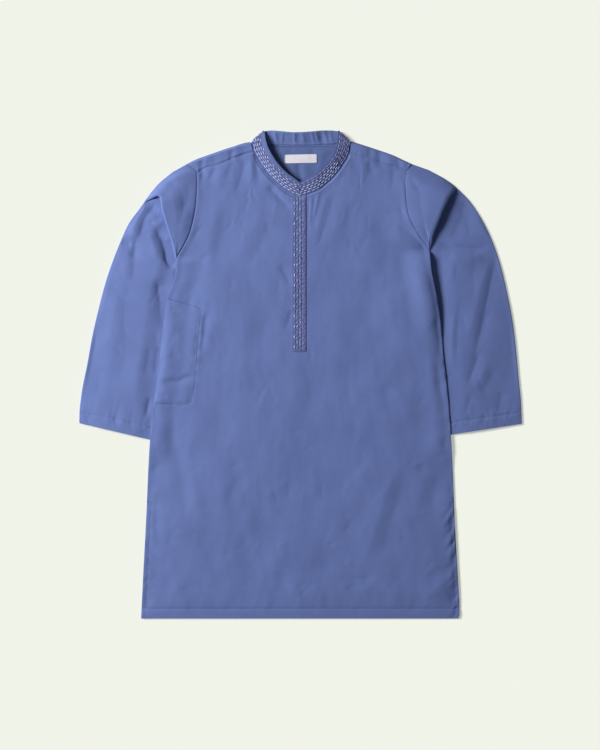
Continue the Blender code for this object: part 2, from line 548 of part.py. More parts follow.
def make_sleeve(side_name):
    """A sleeve laid flat: closed rings from the armhole, over the cap fold, down to the cuff."""
    side = SIDES[side_name]
    sign, shares = side["sign"], np.array(RING_SHARES)
    y = armhole_y(side, shares)
    x = edge_x(side, y)
    along = np.gradient(np.stack([x, y], axis=-1), axis=0)
    outward = np.stack([-along[:, 1], along[:, 0]], axis=-1) / np.hypot(*along.T)[:, None]
    armhole = np.stack([x, y], axis=-1) + SEAM_GAP * outward

    sections = SLEEVES[side_name]
    by_number = [(number, *section) for number, section in enumerate(sections)]
    stations = np.concatenate([np.arange(0, SLEEVE_FINE_TO, 0.5), np.arange(SLEEVE_FINE_TO, len(sections))])
    rings = [(armhole, None)]
    for station in stations:
        outer_x, outer_y, inner_x, inner_y, bow, crest = through(by_number, station)
        plan = np.stack([
            outer_x + shares * (inner_x - outer_x) + bow * BOW_SHAPE * shares * (1 - shares) ** 2
            + through(UNDERARM_SWING, station) * SWING_SHAPE * shares**8 * (1 - shares),
            outer_y + shares * (inner_y - outer_y),
        ], axis=-1)
        if station == 0:
            rings.append(((plan + armhole) / 2, (crest + LOFT) / 2))
        rings.append((plan, crest))

    plans = np.array([plan for plan, _ in rings])
    outer_inward = inward_of(plans[:, 0], plans[:, -1])
    inner_inward = inward_of(plans[:, -1], plans[:, 0])

    outer, inner = [], []
    for number, (plan, crest) in enumerate(rings):
        at_cuff = number >= len(rings) - 2
        flat, wall = (FLAT_CUFF, TURN_UP) if at_cuff else (FLAT_TUBE, CLOTH)
        width = np.hypot(*(plan[-1] - plan[0]))
        if crest is None:
            rise = through(ARMHOLE_HEIGHT, shares) - flat
        else:
            swell = smooth(shares * width / SLEEVE_OUTER_SLOPE)
            swell = swell * smooth(((1 - shares) * width - SLEEVE_INNER_FLAT) / SLEEVE_INNER_SLOPE)
            folds = folds_at(sign * plan[:, 0], plan[:, 1], SLEEVE_FOLDS[side_name])
            rise = swell * (crest - flat + folds)
        for grid, depth in ((outer, 0), (inner, wall)):
            first, last = plan[0] + depth * outer_inward[number], plan[-1] + depth * inner_inward[number]
            shoulder = [first + SLEEVE_ROLL * outer_inward[number]]
            underarm = [last + SLEEVE_ROLL * inner_inward[number]]
            upper = np.concatenate([shoulder, plan[1:-1], underarm])
            heights = np.concatenate([[0], rise[1:-1], [0]]) + flat - depth
            ring = np.concatenate([[first], upper, [last], upper[::-1]])
            z = np.concatenate([[flat / 2], heights, [flat / 2], np.full(len(upper), depth)])
            grid.append(np.column_stack([sign * ring[:, 0], ring[:, 1], z]))
    shell(f"sleeve_{side_name}", np.array(outer), np.array(inner), "cotton", flip=sign < 0, closed=True)


for leftover in list(bpy.data.objects):
    bpy.data.objects.remove(leftover, do_unlink=True)
garment = bpy.data.collections.new("kurta_tunic")
bpy.context.scene.collection.children.link(garment)
make_body()
make_yoke()
make_collar()
for name in SLEEVES:
    make_sleeve(name)
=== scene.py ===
"""A kurta tunic in light blue cotton, laid flat with its front up.

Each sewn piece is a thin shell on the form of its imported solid, and carries its own creases, puckers,
stitching and embroidery. The hem is towards -Y, the collar towards +Y, and the wearer's right is at -X.
Tables are in millimetres; MM turns them into metres.
"""

import json

import bpy
import numpy as np
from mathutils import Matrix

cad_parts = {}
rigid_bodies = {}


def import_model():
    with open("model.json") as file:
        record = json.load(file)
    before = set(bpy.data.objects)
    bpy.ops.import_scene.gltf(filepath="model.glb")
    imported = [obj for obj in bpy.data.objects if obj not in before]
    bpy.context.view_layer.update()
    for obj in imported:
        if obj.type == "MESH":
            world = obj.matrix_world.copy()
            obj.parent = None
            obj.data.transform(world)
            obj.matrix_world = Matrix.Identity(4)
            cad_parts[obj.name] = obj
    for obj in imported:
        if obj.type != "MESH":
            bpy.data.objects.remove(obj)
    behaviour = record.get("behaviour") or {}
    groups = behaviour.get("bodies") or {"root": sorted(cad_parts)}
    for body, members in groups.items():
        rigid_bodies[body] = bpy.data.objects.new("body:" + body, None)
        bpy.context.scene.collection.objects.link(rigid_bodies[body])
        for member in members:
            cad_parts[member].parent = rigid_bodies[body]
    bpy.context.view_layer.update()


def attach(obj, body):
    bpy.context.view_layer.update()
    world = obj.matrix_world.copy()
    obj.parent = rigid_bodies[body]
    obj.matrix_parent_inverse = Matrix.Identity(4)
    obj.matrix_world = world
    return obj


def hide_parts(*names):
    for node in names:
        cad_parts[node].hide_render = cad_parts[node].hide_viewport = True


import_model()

MM = 0.001

# Cloth as it is seen, in single, turned-up and doubled thickness
CLOTH = 0.5
TURN_UP = 1.0
BAND = 1.6
TAPE = 0.45
SHARP_ANGLE = 50.0

# Heights of the laid tunic: its loft, an edge where two layers meet, a sleeve pressed flat. The front falls
# to its side edges over SIDE_RISE, on the left only between STEEP_FROM and STEEP_TO
LOFT = 5.6
FLAT_TUBE = 3.2
SEAM_EDGE = 2.1
HEM_EDGE = 3.0
SIDE_ROLL = 3.0
SIDE_ROUND = 0.5
SIDE_RISE = {"right": 85.0, "left": 32.0}
STEEP_FROM = -215.0
STEEP_FROM_RUN = 95.0
STEEP_TO = 235.0
STEEP_TO_RUN = 40.0
HEM_ROLL = 60.0
UNDERARM_RUN = 30.0
ARMHOLE_RUN = 12.0
LIFT_FLAT = 14.0
SEAM_GAP = 0.5

# Body, neck and placket
HEM_Y = -499.0
HEM_DEPTH = 21.0
SLIT_TOP_Y = -268.0
NECK_RIGHT_X = -97.0
NECK_LEFT_X = 101.5
CENTRE_X = -1.5
PLACKET_RIGHT_X = -17.5
PLACKET_LEFT_X = 12.3
PLACKET_END_Y = 45.5
COLLAR_FOLD = 2.8
LABEL_X = (-32.0, 33.4)
LABEL_Y = (432.0, 449.6)
LABEL_Z = 3.6
LABEL_SLANT = 0.018
YOKE_FRONT_SHARE = 0.0855
YOKE_BACK_SHARE = 0.27
YOKE_FOLD_SHARE = 0.0085
YOKE_INSIDE_LIFT = 2.2
YOKE_CROWN = {"right": 2.6, "left": 0.9}
# Rows of the yoke inside the shoulder fold, as shares of the armhole, and the turn round the fold
YOKE_BACK_ROWS = np.linspace(YOKE_BACK_SHARE, 0.012, 26)
YOKE_TURN = np.radians(np.linspace(-90, 90, 11))
# How far the panels' top edges go on under the next piece, and the strip of finer columns at their sides
TUCK = np.array([2.0, 4.0])
SIDE_STRIP = 74.0

# Each side of the body: its side seam and armhole as (y, distance from the centre line), how far the
# sleeve lying underneath lifts the side seam as (y, lift), and the width of the slope beside it
SIDES = {
    "right": {
        "sign": -1,
        "seam": ((HEM_Y, 326), (-409, 321.6), (-294, 315.5), (-179, 310.4), (-89, 303.4), (25, 288.2),
                 (127, 277), (157, 271.2), (176, 264.5), (195, 257), (219, 254.4), (232, 254.6),
                 (238.2, 253.2)),
        "armhole": ((238.2, 253.2), (245.4, 249.1), (266, 236.8), (288.4, 226.5), (309, 220.4),
                    (331.5, 215.7), (352, 213.2), (372.5, 211.8), (395, 210.8), (413.5, 212.2),
                    (429.9, 232.7)),
        "lift": ((-205, 0), (-185, 1.2), (-160, 4.0), (-145, 5.2), (-110, 5.2), (-90, 4.8), (0, 4.5),
                 (185, 4.5), (205, 4.4), (225, 4.2), (238.2, 0)),
        "lift_slope": 36.0,
    },
    "left": {
        "sign": 1,
        "seam": ((HEM_Y, 321.5), (-494, 324.8), (-485, 325.3), (-409, 321.6), (-294, 315.3), (-179, 310.6),
                 (-122, 307.3), (-42, 300.9), (33, 292.7), (104, 286.4), (152, 279.6), (188, 272.2),
                 (213, 267.4), (243, 264.6), (253.5, 263.4)),
        "armhole": ((253.5, 263.4), (260, 260.1), (275.3, 248.3), (297.5, 234.5), (322.9, 221.8),
                    (341.7, 217.5), (367.2, 215), (389.3, 214.2), (415.8, 217.5), (431, 226.1)),
        "lift": ((-195, 0), (-175, 1.0), (-150, 2.8), (-133, 2.8), (-60, 2.4), (20, 2.4), (70, 2.8),
                 (110, 5.6), (160, 9.0), (200, 10), (228, 10), (242, 8), (250, 4), (253.5, 0)),
        "lift_slope": 50.0,
    },
}

# Height of the front along each armhole: (share, height)
ARMHOLE_HEIGHT = {
    "right": ((0, FLAT_TUBE), (0.05, 4.4), (YOKE_FRONT_SHARE, 4.8), (0.3, 4.8), (0.5, 5.0), (0.7, 6.2),
              (0.85, 5.6), (1, FLAT_TUBE)),
    "left": ((0, FLAT_TUBE), (0.05, 4.8), (YOKE_FRONT_SHARE, 5.6), (0.3, 9.0), (0.6, 10.4), (0.85, 8.4),
             (1, FLAT_TUBE)),
}

# Top edge of the front: yoke seam, neckline, yoke seam, as (x, y)
YOKE_SEAM_RIGHT = ((-211.2, 413.5), (-196.6, 422.5), (-175.9, 428.2), (-144.5, 440.1), (-120.7, 449.4),
                   (NECK_RIGHT_X, 456.5))
NECKLINE = ((NECK_RIGHT_X, 456.5), (-94.1, 451), (-88.4, 441.4), (-81.4, 430.5), (-71.5, 415.7),
            (-58.8, 401), (-45.1, 388.3), (-30.3, 376.6), (PLACKET_RIGHT_X, 368.4), (CENTRE_X, 363.5),
            (18.7, 369), (38.1, 377.4), (50, 386.4), (63.8, 398.1), (77.5, 413.9), (87.3, 427.6),
            (97, 443.2), (NECK_LEFT_X, 455.5))
YOKE_SEAM_LEFT = ((NECK_LEFT_X, 455.5), (142.5, 440.1), (169.7, 431.5), (200.5, 423.1), (217.5, 415.8))
TOP_SEAM = YOKE_SEAM_RIGHT[:-1] + NECKLINE + YOKE_SEAM_LEFT[1:]

# Top edge of the back, and of the whole garment: shoulder fold, back neckline, shoulder fold, as (x, y)
YOKE_SEAM_BACK = ((-212, 378), (217, 383))
SHOULDER_LINE = ((-232.7, 429.9), (-216.3, 438.5), (-179.4, 452), (-142.5, 464.5), (-101.5, 475),
                 (-85, 472.8), (-40, 471.4), (0, 471), (40, 472), (85, 474.4), (103, 476.5),
                 (115.8, 472.9), (152.7, 461), (189.6, 448.1), (208.1, 439.3), (226.1, 431))
NECK_FOLD_RIGHT_X = -101.5
NECK_FOLD_LEFT_X = 103.0

# Top edge of the collar as (x, y, height of the outer face): each front from the centre up, then the back
COLLAR_TOP_RIGHT = ((-1.8, 392.5, 10.6), (-12.7, 401, 11.6), (-25.4, 409.8, 12.6), (-37.3, 420.7, 13.4),
                    (-49, 434.4, 14.0), (-58.8, 449.2, 14.4), (-66.6, 464.7, 14.0), (-71.5, 481, 12.2),
                    (-73.6, 497, 9.0))
COLLAR_TOP_LEFT = ((-1.2, 392.5, 10.6), (13.7, 401.2, 11.2), (28.5, 409, 12), (42.2, 419.6, 12.6),
                   (53.9, 431.5, 13), (65, 446, 13), (72, 460.8, 12), (75.5, 480, 10.4), (76.6, 497, 9.0))
COLLAR_TOP_BACK = ((-73.6, 497, 3.4), (-60, 498.5, 5.0), (-45, 497.5, 7.5), (-13.3, 494.8, 9.6),
                   (5.1, 495.2, 10), (23.6, 496.6, 9.4), (50, 498.5, 7.2), (63, 498.5, 5.0),
                   (76.6, 497, 3.4))
# Creases of the band's back, across it: (x, half width, height, slant)
COLLAR_CREASES = ((-58, 2.8, 1.0, 0.2), (-50, 1.9, -1.4, 0.15), (-37, 1.9, -1.2, -0.1),
                  (-12, 1.8, -1.8, 0.05), (-3, 3.0, 0.8, 0.1), (6, 1.9, -1.1, 0.2), (25, 1.9, -1.4, 0.25),
                  (34, 1.8, -1.2, 0.3), (43, 2.8, 1.0, 0.2), (52, 1.9, -1.4, 0.25), (63, 2.0, -1.0, 0.2))
# Neck seam of the collar, from the front neckline's corners over the shoulder folds
COLLAR_SIDE_RIGHT = ((-97.4, 466, 7.0), (-97.6, 473.6, 7.2))
COLLAR_SIDE_LEFT = ((100, 466, 7.0), (99.2, 475.4, 7.2))
# Height of the band's outer face along the back neck seam: (distance from the centre line, height)
COLLAR_SEAM_BACK_HEIGHT = ((0, 0), (72, 0), (92, 1.6))
# Up the band: where its points lie, its belly at the left and right front, and where its back begins
COLLAR_STEPS = np.concatenate([[0, 0.03, 0.07], np.linspace(0.12, 0.88, 13), [0.93, 0.97, 1]])
COLLAR_BELLY = (0.9, 1.6)
COLLAR_BACK_FROM = 462.0
COLLAR_WIDE = 30.0
# How the foot of the band's inner face laps the yoke at the back: (step, distance, height)
COLLAR_LAP = ((0, 2.6, 1.2), (1, 2.08, 2.2))

# Sleeve sections as (outer x, outer y, inner x, inner y, bow, height), x counted from the centre line:
# over the cap fold, then from its foot down to the cuff
SLEEVES = {
    "right": (
        (262, 413.5, 252.5, 236.8, -20, 9.7), (291, 389, 252.3, 233, 0, 8.5),
        (318, 355.1, 252.3, 229, 0, 8.5),
        (321.5, 349.6, 251.5, 223, 0, 4.8), (333, 333.7, 250.5, 211, 0, 5.6),
        (350.8, 309, 250.8, 198, 0, 6.8), (376.4, 251.5, 256, 178, 0, 6.8), (396.9, 194, 263.5, 146, 0, 6.4),
        (412.3, 136.7, 268.5, 110, 0, 6.4), (425.6, 79.3, 274, 65, 0, 6.2), (436, 22, 279.5, 12, 0, 6),
        (447.3, -35.5, 287, -45, 0, 5.6), (452, -77, 293.5, -111, 0, 5.4), (452.5, -99.6, 297, -136, 0, 5.2),
    ),
    "left": (
        (262, 418, 263.8, 251.8, -20, 12.5), (298, 398, 263.9, 250, 0, 10.5), (315, 385.4, 264, 248.5, 0, 10),
        (321, 379.7, 263.7, 242.5, 0, 2.6), (346, 354, 264, 226, -4, 3.4), (375.1, 309, 267, 210, 0, 5.2),
        (397, 260, 269, 190, 0, 6.3), (411, 216, 270.5, 165, 0, 6.0), (422.9, 165.4, 274.5, 125, 0, 5.9),
        (433.8, 108, 279, 75, 0, 5.8), (440.8, 50.6, 283.5, 25, 0, 5.7), (446, -6.8, 289, -28, 0, 5.5),
        (451, -60, 294, -82, 0, 5.5), (452.5, -101, 297, -125, 0, 5.2),
    ),
}
# The fold across each sleeve's cap: the line of its top, the height along it as (share, height), how far it
# rolls out over its foot, and how far the foot lies from the top at either end
CAP_FOLD = {
    "right": ((318, 355.1), (310, 359.5), (301, 364), (294, 367), (288.5, 367.2), (284.5, 364), (282, 357),
              (280.3, 342), (275, 322), (270.2, 306), (264, 286), (258.5, 268), (255, 248), (252.3, 229)),
    "left": ((316, 384.6), (309, 377.5), (301, 368.5), (294.5, 357), (289.5, 346), (285, 336), (281, 325),
             (274, 308), (267, 291.5), (262.4, 275), (261.8, 262), (264, 248.5)),
}
CAP_HEIGHT = {
    "right": ((0, 3.2), (0.05, 6.5), (0.12, 10.5), (0.2, 13.5), (0.3, 15.6), (0.45, 14), (0.6, 11),
              (0.75, 8.0), (0.9, 5.2), (1, 3.2)),
    "left": ((0, 3.2), (0.05, 9), (0.12, 14), (0.25, 16.5), (0.5, 16), (0.75, 11.6), (0.9, 7.2), (0.97, 4.8),
             (1, 3.2)),
}
CAP_ROLL = {"right": 4.2, "left": 8.0}
CAP_FOOT = {"right": ((3.5, -5.5), (-0.8, -6.0)), "left": ((5.0, -4.8), (-0.3, -6.0))}
# How much the cloth beside the fold's foot is raised in its middle, on the foot and on the next sections
FOOT_RAISE = {"right": (0.9, 0.8, 0.4), "left": (0.0, 0.0)}
FOOT_ROLL = 0.7
# Cross-section of the cap's fold where it turns under: (way along, part of its roll, part of its height)
PLEAT_TURN = ((0, 0, 1), (0.2, 0.42, 0.96), (0.4, 0.75, 0.84), (0.6, 0.96, 0.62), (0.78, 1.0, 0.34),
              (0.9, 0.88, 0.12), (1, FOOT_ROLL, 0))
# Beside the armhole: the cap's own crown, how far it laps the seam, how deep its edge is tucked in, how far
# the first ring goes under the body, where it meets the fold, and how its roll fades at both ends
CAP_CROWN = {"right": 1.2, "left": 0.3}
CAP_LAP = {"right": 0.0, "left": 0.7}
CAP_TUCK = {"right": 2.0, "left": 0.9}
CAP_UNDERLAP = 3.0
CAP_MEETS = 0.4
CAP_MEET_RUN = 0.35
CAP_START_FADE = 9.0
CAP_END_FADE = 6.0
CAP_STATIONS = np.array([-1, -0.975, -0.95, -0.925, -0.895, -0.86, -0.8, -0.7, -0.55, -0.4, -0.25, -0.1])
# The sleeve's least height, eased into; how far its details fade out beside its edges; and the turned-up cuff
SLEEVE_LEAST = 1.3
SLEEVE_EASE = 0.8
SLEEVE_EDGE = 9.0
CUFF_THICKER = 1.12
BOW_SHAPE = 27 / 4  # makes the peak of share * (1 - share) ** 2 equal to 1
# How far the rings swing outward just before the underarm edge: (section, distance)
UNDERARM_SWING = ((0, 0), (1, 1), (2, 2), (3, 6), (4, 8), (5, 5), (6, 2), (7, 0))
SWING_SHAPE = 23.1  # makes the peak of share ** 8 * (1 - share) equal to 1
# Width of the slope at each section's outer edge, and of the flat and the slope at the inner edge
SLEEVE_OUTER_SLOPE = {"right": (12, 20, 30, 24, 24, 28, 32, 40, 48, 52, 52, 52, 52, 52),
                      "left": (30, 30, 30, 40, 70, 90, 90, 90, 90, 90, 90, 90, 90, 90)}
SLEEVE_INNER_FLAT = 15.0
SLEEVE_INNER_SLOPE = 36.0

# Pocket bag: the height in the garment of its top and bottom at the side seam and at its free edge,
# how far in from the side seam it starts and ends, and how much it raises the front
POCKET_TOP = (155.0, 139.0)
POCKET_BOTTOM = (-59.0, -62.0)
POCKET_INSETS = (7.0, 74.0)
POCKET_LIFT = 1.9
POCKET_RAISE = 0.9
POCKET_FADE = 9.0

# Crumples, in layers of noise: (height, how much y is drawn out, size, seed)
FRONT_CRUMPLE = ((1.5, 0.75, 140, 1), (1.1, 0.9, 74, 2), (0.8, 0.8, 41, 5), (0.3, 0.6, 21, 12),
                 (0.12, 0.4, 10, 14))
SLEEVE_CRUMPLE = ((1.1, 0.6, 84, 91), (0.6, 0.8, 46, 92), (0.2, 0.9, 24, 95))

# Puckers along the rows of stitching: (height, reach away from the row, pitch along it, seed)
PUCKERS = {
    "side_right": (0.55, 26, 17, 3), "side_left": (0.55, 26, 17, 4),
    "armhole_right": (0.4, 13, 12, 43), "armhole_left": (0.4, 13, 12, 44),
    "slit_right": (0.5, 11, 10, 23), "slit_left": (1.3, 11, 10, 24),
    "hem": (0.5, 34, 19, 11), "back_hem": (0.25, 26, 16, 34), "cuff": (0.75, 15, 13, 96),
    "top_seam": (1.0, 17, 12, 23), "yoke": (0.45, 12, 13, 63), "pocket": (0.5, 10, 12, 13),
}
# Dips and ridges along them: (height, half width)
SLIT_DIP = (-0.45, 2.2)
HEM_DIP = (-0.55, 2.4)
HEM_RIDGE = (0.35, 8.0)
HEM_RIDGE_AT = 9.0
POCKET_DIP = (-0.7, 2.4)
CUFF_DIP = (-0.8, 2.0)
# The same along the front's top seam, each at the shoulders and at the neck
SEAM_SWELLS = (1.0, 0.3)
SEAM_SWELL_WIDTH = 30.0
SEAM_DIPS = (0.7, 0.9)
SEAM_DIP_WIDTH = 3.0
SEAM_RIDGES = (0.12, 0.3)
SEAM_RIDGE_WIDTH = 3.6
SEAM_RIDGE_AT = 7.5
SEAM_PUCKERS = (0.8, 0.45)
# How far from an edge each kind of detail fades out, and the share of the creases left at the very edge
EDGE_FADE = 3.0
SLIT_FADE = 2.0
SLIT_OPENING = 12.0
HEM_DEPTH_FADE = 20.0
NECK_FADE = 6.0
SEAM_TAPER = 25.0
CALM_SIDE = 14.0
CALM_HEM = 50.0
CALM_BACK_HEM = 30.0
POCKET_LINE_FADE = 20.0
EDGE_CREASES = 0.25

# Every crease's steep and flat side and its profile, how far it is worked out in half widths, how quickly it
# fades at its start and end, and the share of the scattered ones that are troughs
CREASE_STEEP = 1.05
CREASE_FLAT = 1.6
CREASE_POWER = 1.4
CREASE_REACH = 2.6
CREASE_FADE = (4.5, 3.2)
TROUGH_SHARE = 0.62

# Creases: width, height, and the points of the line in order. See half_widths for the width
FRONT_CREASES = (
    (7, -2.5, (-69, 387), (-52, 371), (-32, 350), (-16, 334)),
    (7, 1.2, (-56, 385), (-36, 365), (-17, 346)),
    (5.5, -1.5, (-41, 227), (-29, 199), (-17, 178)),
    (5.5, -1.42, (-17, 135), (-23, 114), (-31, 90)),
    (13, -1.2, (-60, 317), (-79, 272), (-102, 220)),
    (14, 0.9, (-71, 353), (-104, 287), (-132, 226)),
    (5.5, -1.1, (-184, 250), (-196, 240), (-203, 229), (-188, 209)),
    (2.6, -0.75, (17, 361), (16, 324), (15, 275)),
    (2.4, 0.7, (22, 369), (20, 328), (18, 291)),
    (2.8, -0.75, (30, 371), (26, 336), (18, 295)),
    (2.6, 0.6, (37, 373), (31, 344), (24, 315)),
    (3, -0.6, (45, 377), (36, 340), (22, 291)),
    (4, 0.5, (57, 378), (44, 331), (28, 278)),
    (5, -0.6, (71, 378), (53, 311), (28, 245)),
    (7, 0.45, (87, 370), (73, 306), (48, 241)),
    (10.5, -0.6, (112, 363), (97, 302), (87, 253)),
    (3.3, -1.2, (-197, 417), (-204, 401), (-209, 373)),
    (3.6, -1.2, (-171, 425), (-180, 411), (-189, 392)),
    (6, 0.5, (-157, 430), (-163, 405), (-169, 376)),
    (3.6, -1.1, (-140, 436), (-146, 417), (-150, 397)),
    (6.5, -1.2, (-112, 443), (-120, 407), (-135, 362)),
    (5.5, -1.0, (-96, 453), (-88, 415), (-84, 386)),
    (5, 0.8, (-104, 449), (-100, 414), (-106, 377)),
    (4.5, -1.2, (141, 439), (143, 423), (147, 404)),
    (3.2, -1.3, (155, 436), (163, 428), (176, 419)),
    (5.5, 0.8, (125, 442), (127, 414), (123, 377)),
    (2.9, -1.3, (208, 416), (210, 400), (213, 379)),
    (2.8, -1.2, (220, 416), (215, 401), (213, 383)),
    (6, -1.0, (191, 423), (189, 401), (183, 372)),
    (-5.5, -1.0, (175, 334), (200, 332), (221, 320)),
    (5.5, -1.1, (194, 305), (221, 291), (248, 266), (264, 248)),
    (7, 0.9, (180, 293), (213, 272), (246, 244)),
    (5, -0.9, (-197, 306), (-211, 291), (-224, 273)),
    (13, 1.1, (-169, 355), (-183, 281), (-193, 228)),
    (11, -0.9, (-154, 345), (-164, 274), (-178, 212)),
    (17, -1.0, (181, 365), (173, 284), (190, 194)),
    (21, 0.38, (217, 214), (209, 91), (221, -32)),
    (3, -0.9, (201, 339), (210, 329), (222, 319)),
    (3, -1.1, (244, 270), (253, 257), (263, 251)),
    (17, 1.0, (183, 263), (186, 214), (186, 149), (194, 71)),
    (13, -1.04, (101, 38), (99, -19), (103, -73)),
    (10.5, -1.04, (171, -18), (177, -51), (185, -88)),
    (19, 0.95, (72, 152), (80, 50), (70, -52)),
    (21, -0.95, (-66, 152), (-78, 50), (-66, -52)),
    (19, 0.85, (-120, 172), (-116, 70), (-132, -45)),
    (15, -0.85, (141, 217), (147, 152), (135, 70)),
    (14, -0.85, (8, 29), (20, -36), (8, -101)),
    (-4, -1.99, (-289, -7), (-271, -14), (-254, -15), (-238, -8), (-224, -3), (-203, -1)),
    (-3.6, -1.04, (-292, -42), (-281, -43), (-270, -43)),
    (4.5, 1.23, (-203, 133), (-205, 86), (-214, 25), (-223, -57)),
    (5.2, -1.9, (-194, 129), (-197, 86), (-206, 37)),
    (3.6, -1.33, (-205, 82), (-209, 74), (-207, 64)),
    (3.6, -1.33, (-208, 52), (-214, 45), (-211, 35)),
    (3.6, -1.14, (-215, 25), (-218, 17), (-216, 7)),
    (4, -1.42, (-232, 151), (-225, 140), (-228, 130)),
    (-3.6, -1.04, (-267, 135), (-257, 133), (-246, 128)),
    (-3.6, -0.76, (-263, 124), (-251, 121), (-238, 119)),
    (6, 0.66, (-247, 91), (-249, 54), (-243, 17)),
    (4, -0.76, (-277, 107), (-280, 87), (-279, 64)),
    (-4, -0.66, (-265, 45), (-255, 40), (-244, 45)),
    (11.5, -1.32, (-227, -81), (-237, -102), (-260, -124), (-250, -165), (-239, -241), (-234, -339)),
    (11, 0.9, (-211, -101), (-227, -154), (-217, -240), (-207, -334)),
    (8.5, 0.6, (-276, -134), (-272, -179), (-264, -256)),
    (5, -0.78, (-290, -232), (-294, -269), (-295, -302), (-288, -355)),
    (5, -0.6, (-260, -313), (-266, -333), (-271, -356)),
    (-4.5, -0.72, (-305, -192), (-296, -191), (-285, -192)),
    (10, -0.78, (-120, -198), (-136, -235), (-155, -278)),
    (9, 0.54, (-98, -206), (-117, -243), (-133, -284)),
    (8.5, 0.72, (-21, -214), (-47, -233), (-80, -251)),
    (-6.5, -0.54, (-228, -316), (-204, -327), (-173, -334)),
    (-5.5, -0.6, (-159, -375), (-151, -369), (-140, -366)),
    (6, -0.54, (-275, -412), (-271, -426), (-273, -445)),
    (-5.5, -0.48, (-244, -436), (-226, -436), (-209, -432)),
    (22, 0.78, (-167, -135), (-163, -257), (-175, -400)),
    (22, -0.6, (-118, -318), (-110, -380), (-118, -453)),
    (13.5, -0.9, (139, -166), (116, -193), (89, -222)),
    (13, 0.72, (164, -156), (136, -189), (107, -217)),
    (10.5, 1.08, (206, -182), (185, -218), (168, -259), (152, -321), (116, -415)),
    (13, -0.84, (219, -198), (199, -251), (181, -321), (146, -411)),
    (7, -1.02, (243, -183), (247, -194), (245, -207)),
    (-7, -0.66, (81, -425), (118, -418), (161, -410)),
    (10, 1.02, (324, -401), (289, -429), (246, -466)),
    (9.5, -0.84, (327, -385), (288, -401), (256, -426)),
    (5, -0.72, (299, -126), (293, -138), (297, -155)),
    (6, -0.6, (313, -162), (295, -162), (278, -174)),
    (12, -0.66, (285, -196), (272, -257), (276, -339)),
    (13, 0.66, (302, -204), (293, -277), (302, -359)),
    (-50, -0.96, (-128, -493), (-70, -439), (-21, -403), (69, -398), (154, -407)),
    (-32, 0.6, (-120, -437), (-67, -388), (-6, -355)),
    (26, -0.66, (15, -111), (48, -185), (40, -275)),
    (23, 0.66, (75, -238), (79, -320), (58, -393)),
    ((5, 7.6), -0.66, (110, -298), (97, -312), (85, -326)),
    (16, -0.72, (229, -286), (240, -331), (262, -380)),
    (4.5, -0.6, (202, -314), (210, -330), (208, -348)),
    (-4, -0.6, (94, -443), (112, -431), (126, -433)),
    (-5, -0.54, (-9, -439), (12, -429), (36, -431)),
    (8, -1.14, (277, 34), (280, 6), (285, -27), (290, -64)),
    (7, 1.04, (284, 46), (290, 18), (297, -23), (302, -76)),
    (6.5, -2.28, (277, 124), (283, 87), (287, 59), (288, 26)),
)
SLEEVE_CREASES = {
    "right": (
        (11, -4.05, (-293, 354), (-304, 339), (-316, 323), (-322, 307), (-326, 290), (-334, 270)),
        ((8.4, 30), 2.97, (-309, 352), (-326, 330), (-340, 301), (-350, 269)),
        (12.5, -2.97, (-333, 286), (-339, 261), (-343, 228)),
        (5.5, 1.08, (-306, 329), (-298, 313), (-280, 305)),
        (-4.5, -1.22, (-311, 309), (-295, 316), (-281, 316)),
        (-5, -1.89, (-365, 275), (-355, 267), (-344, 268)),
        (7, -1.08, (-337, 268), (-339, 238), (-343, 185)),
        (9.5, -5.94, (-300, 304), (-285, 281), (-275, 259), (-266, 232), (-257, 210)),
        (11.5, -1.89, (-274, 277), (-264, 248), (-260, 219)),
        (3, -1.62, (-273, 276), (-263, 255), (-253, 226)),
        ((6.3, 12), -2.56, (-296, 198), (-281, 153), (-275, 116), (-273, 75)),
        (12, -2.16, (-300, 199), (-286, 154), (-280, 117), (-278, 76)),
        (10.5, 1.62, (-310, 293), (-299, 264), (-291, 232)),
        (4.5, -2.16, (-289, 58), (-293, 29), (-296, -4)),
        (4.5, -1.76, (-307, -45), (-312, -65), (-315, -90)),
        (18, 1.35, (-374, 170), (-385, 99), (-399, 44)),
        (16.5, -1.22, (-351, 192), (-361, 114), (-357, 49), (-375, -29)),
        (15, 1.08, (-325, 49), (-335, 4), (-337, -53)),
        (9, -1.22, (-308, 59), (-312, 25), (-319, -8)),
        (14, -1.08, (-407, 17), (-413, -20), (-411, -53)),
        (10, 1.22, (-347, 322), (-363, 273), (-379, 212)),
    ),
    "left": (
        (12, -2.38, (337, 362), (333, 329), (321, 297), (303, 268)),
        (-5, -2.25, (279, 270), (299, 263), (320, 259), (351, 257), (387, 257)),
        (-7.5, 1.62, (302, 244), (342, 238), (379, 240)),
        (9, -2.12, (403, 253), (391, 198), (377, 128), (362, 59), (350, 4)),
        (12, 1.25, (387, 236), (370, 183), (354, 117), (338, 60)),
        (8.5, -2.12, (368, 48), (354, 11), (341, -24)),
        (9, -1.0, (397, 8), (384, -16), (366, -43)),
        (9, 0.88, (384, 23), (368, -6), (354, -35)),
        (12, -0.5, (432, 152), (432, 70), (420, -20)),
        (8, -1.25, (327, 152), (321, 90), (319, 25)),
        (7.5, 1.12, (315, 132), (310, 70), (310, 5)),
        (7, -1.25, (412, -33), (408, -57), (404, -82)),
        (7, -1.12, (351, -41), (343, -62), (339, -86)),
        (9, 1.12, (368, 327), (380, 302), (395, 278)),
        (8, -1.12, (335, 329), (343, 305), (347, 276)),
    ),
}
CAP_CREASES = {
    "right": (
        (8.5, -1.08, (-258, 399), (-267, 378), (-283, 362)),
        (10, 0.84, (-236, 311), (-234, 287), (-238, 262)),
        ((9.5, 20), -2.64, (-226, 397), (-229, 364), (-237, 327)),
    ),
    "left": (
        (3.7, -1.8, (223, 409), (232, 390), (245, 370)),
        (5, -0.84, (243, 313), (255, 293), (264, 272)),
    ),
}
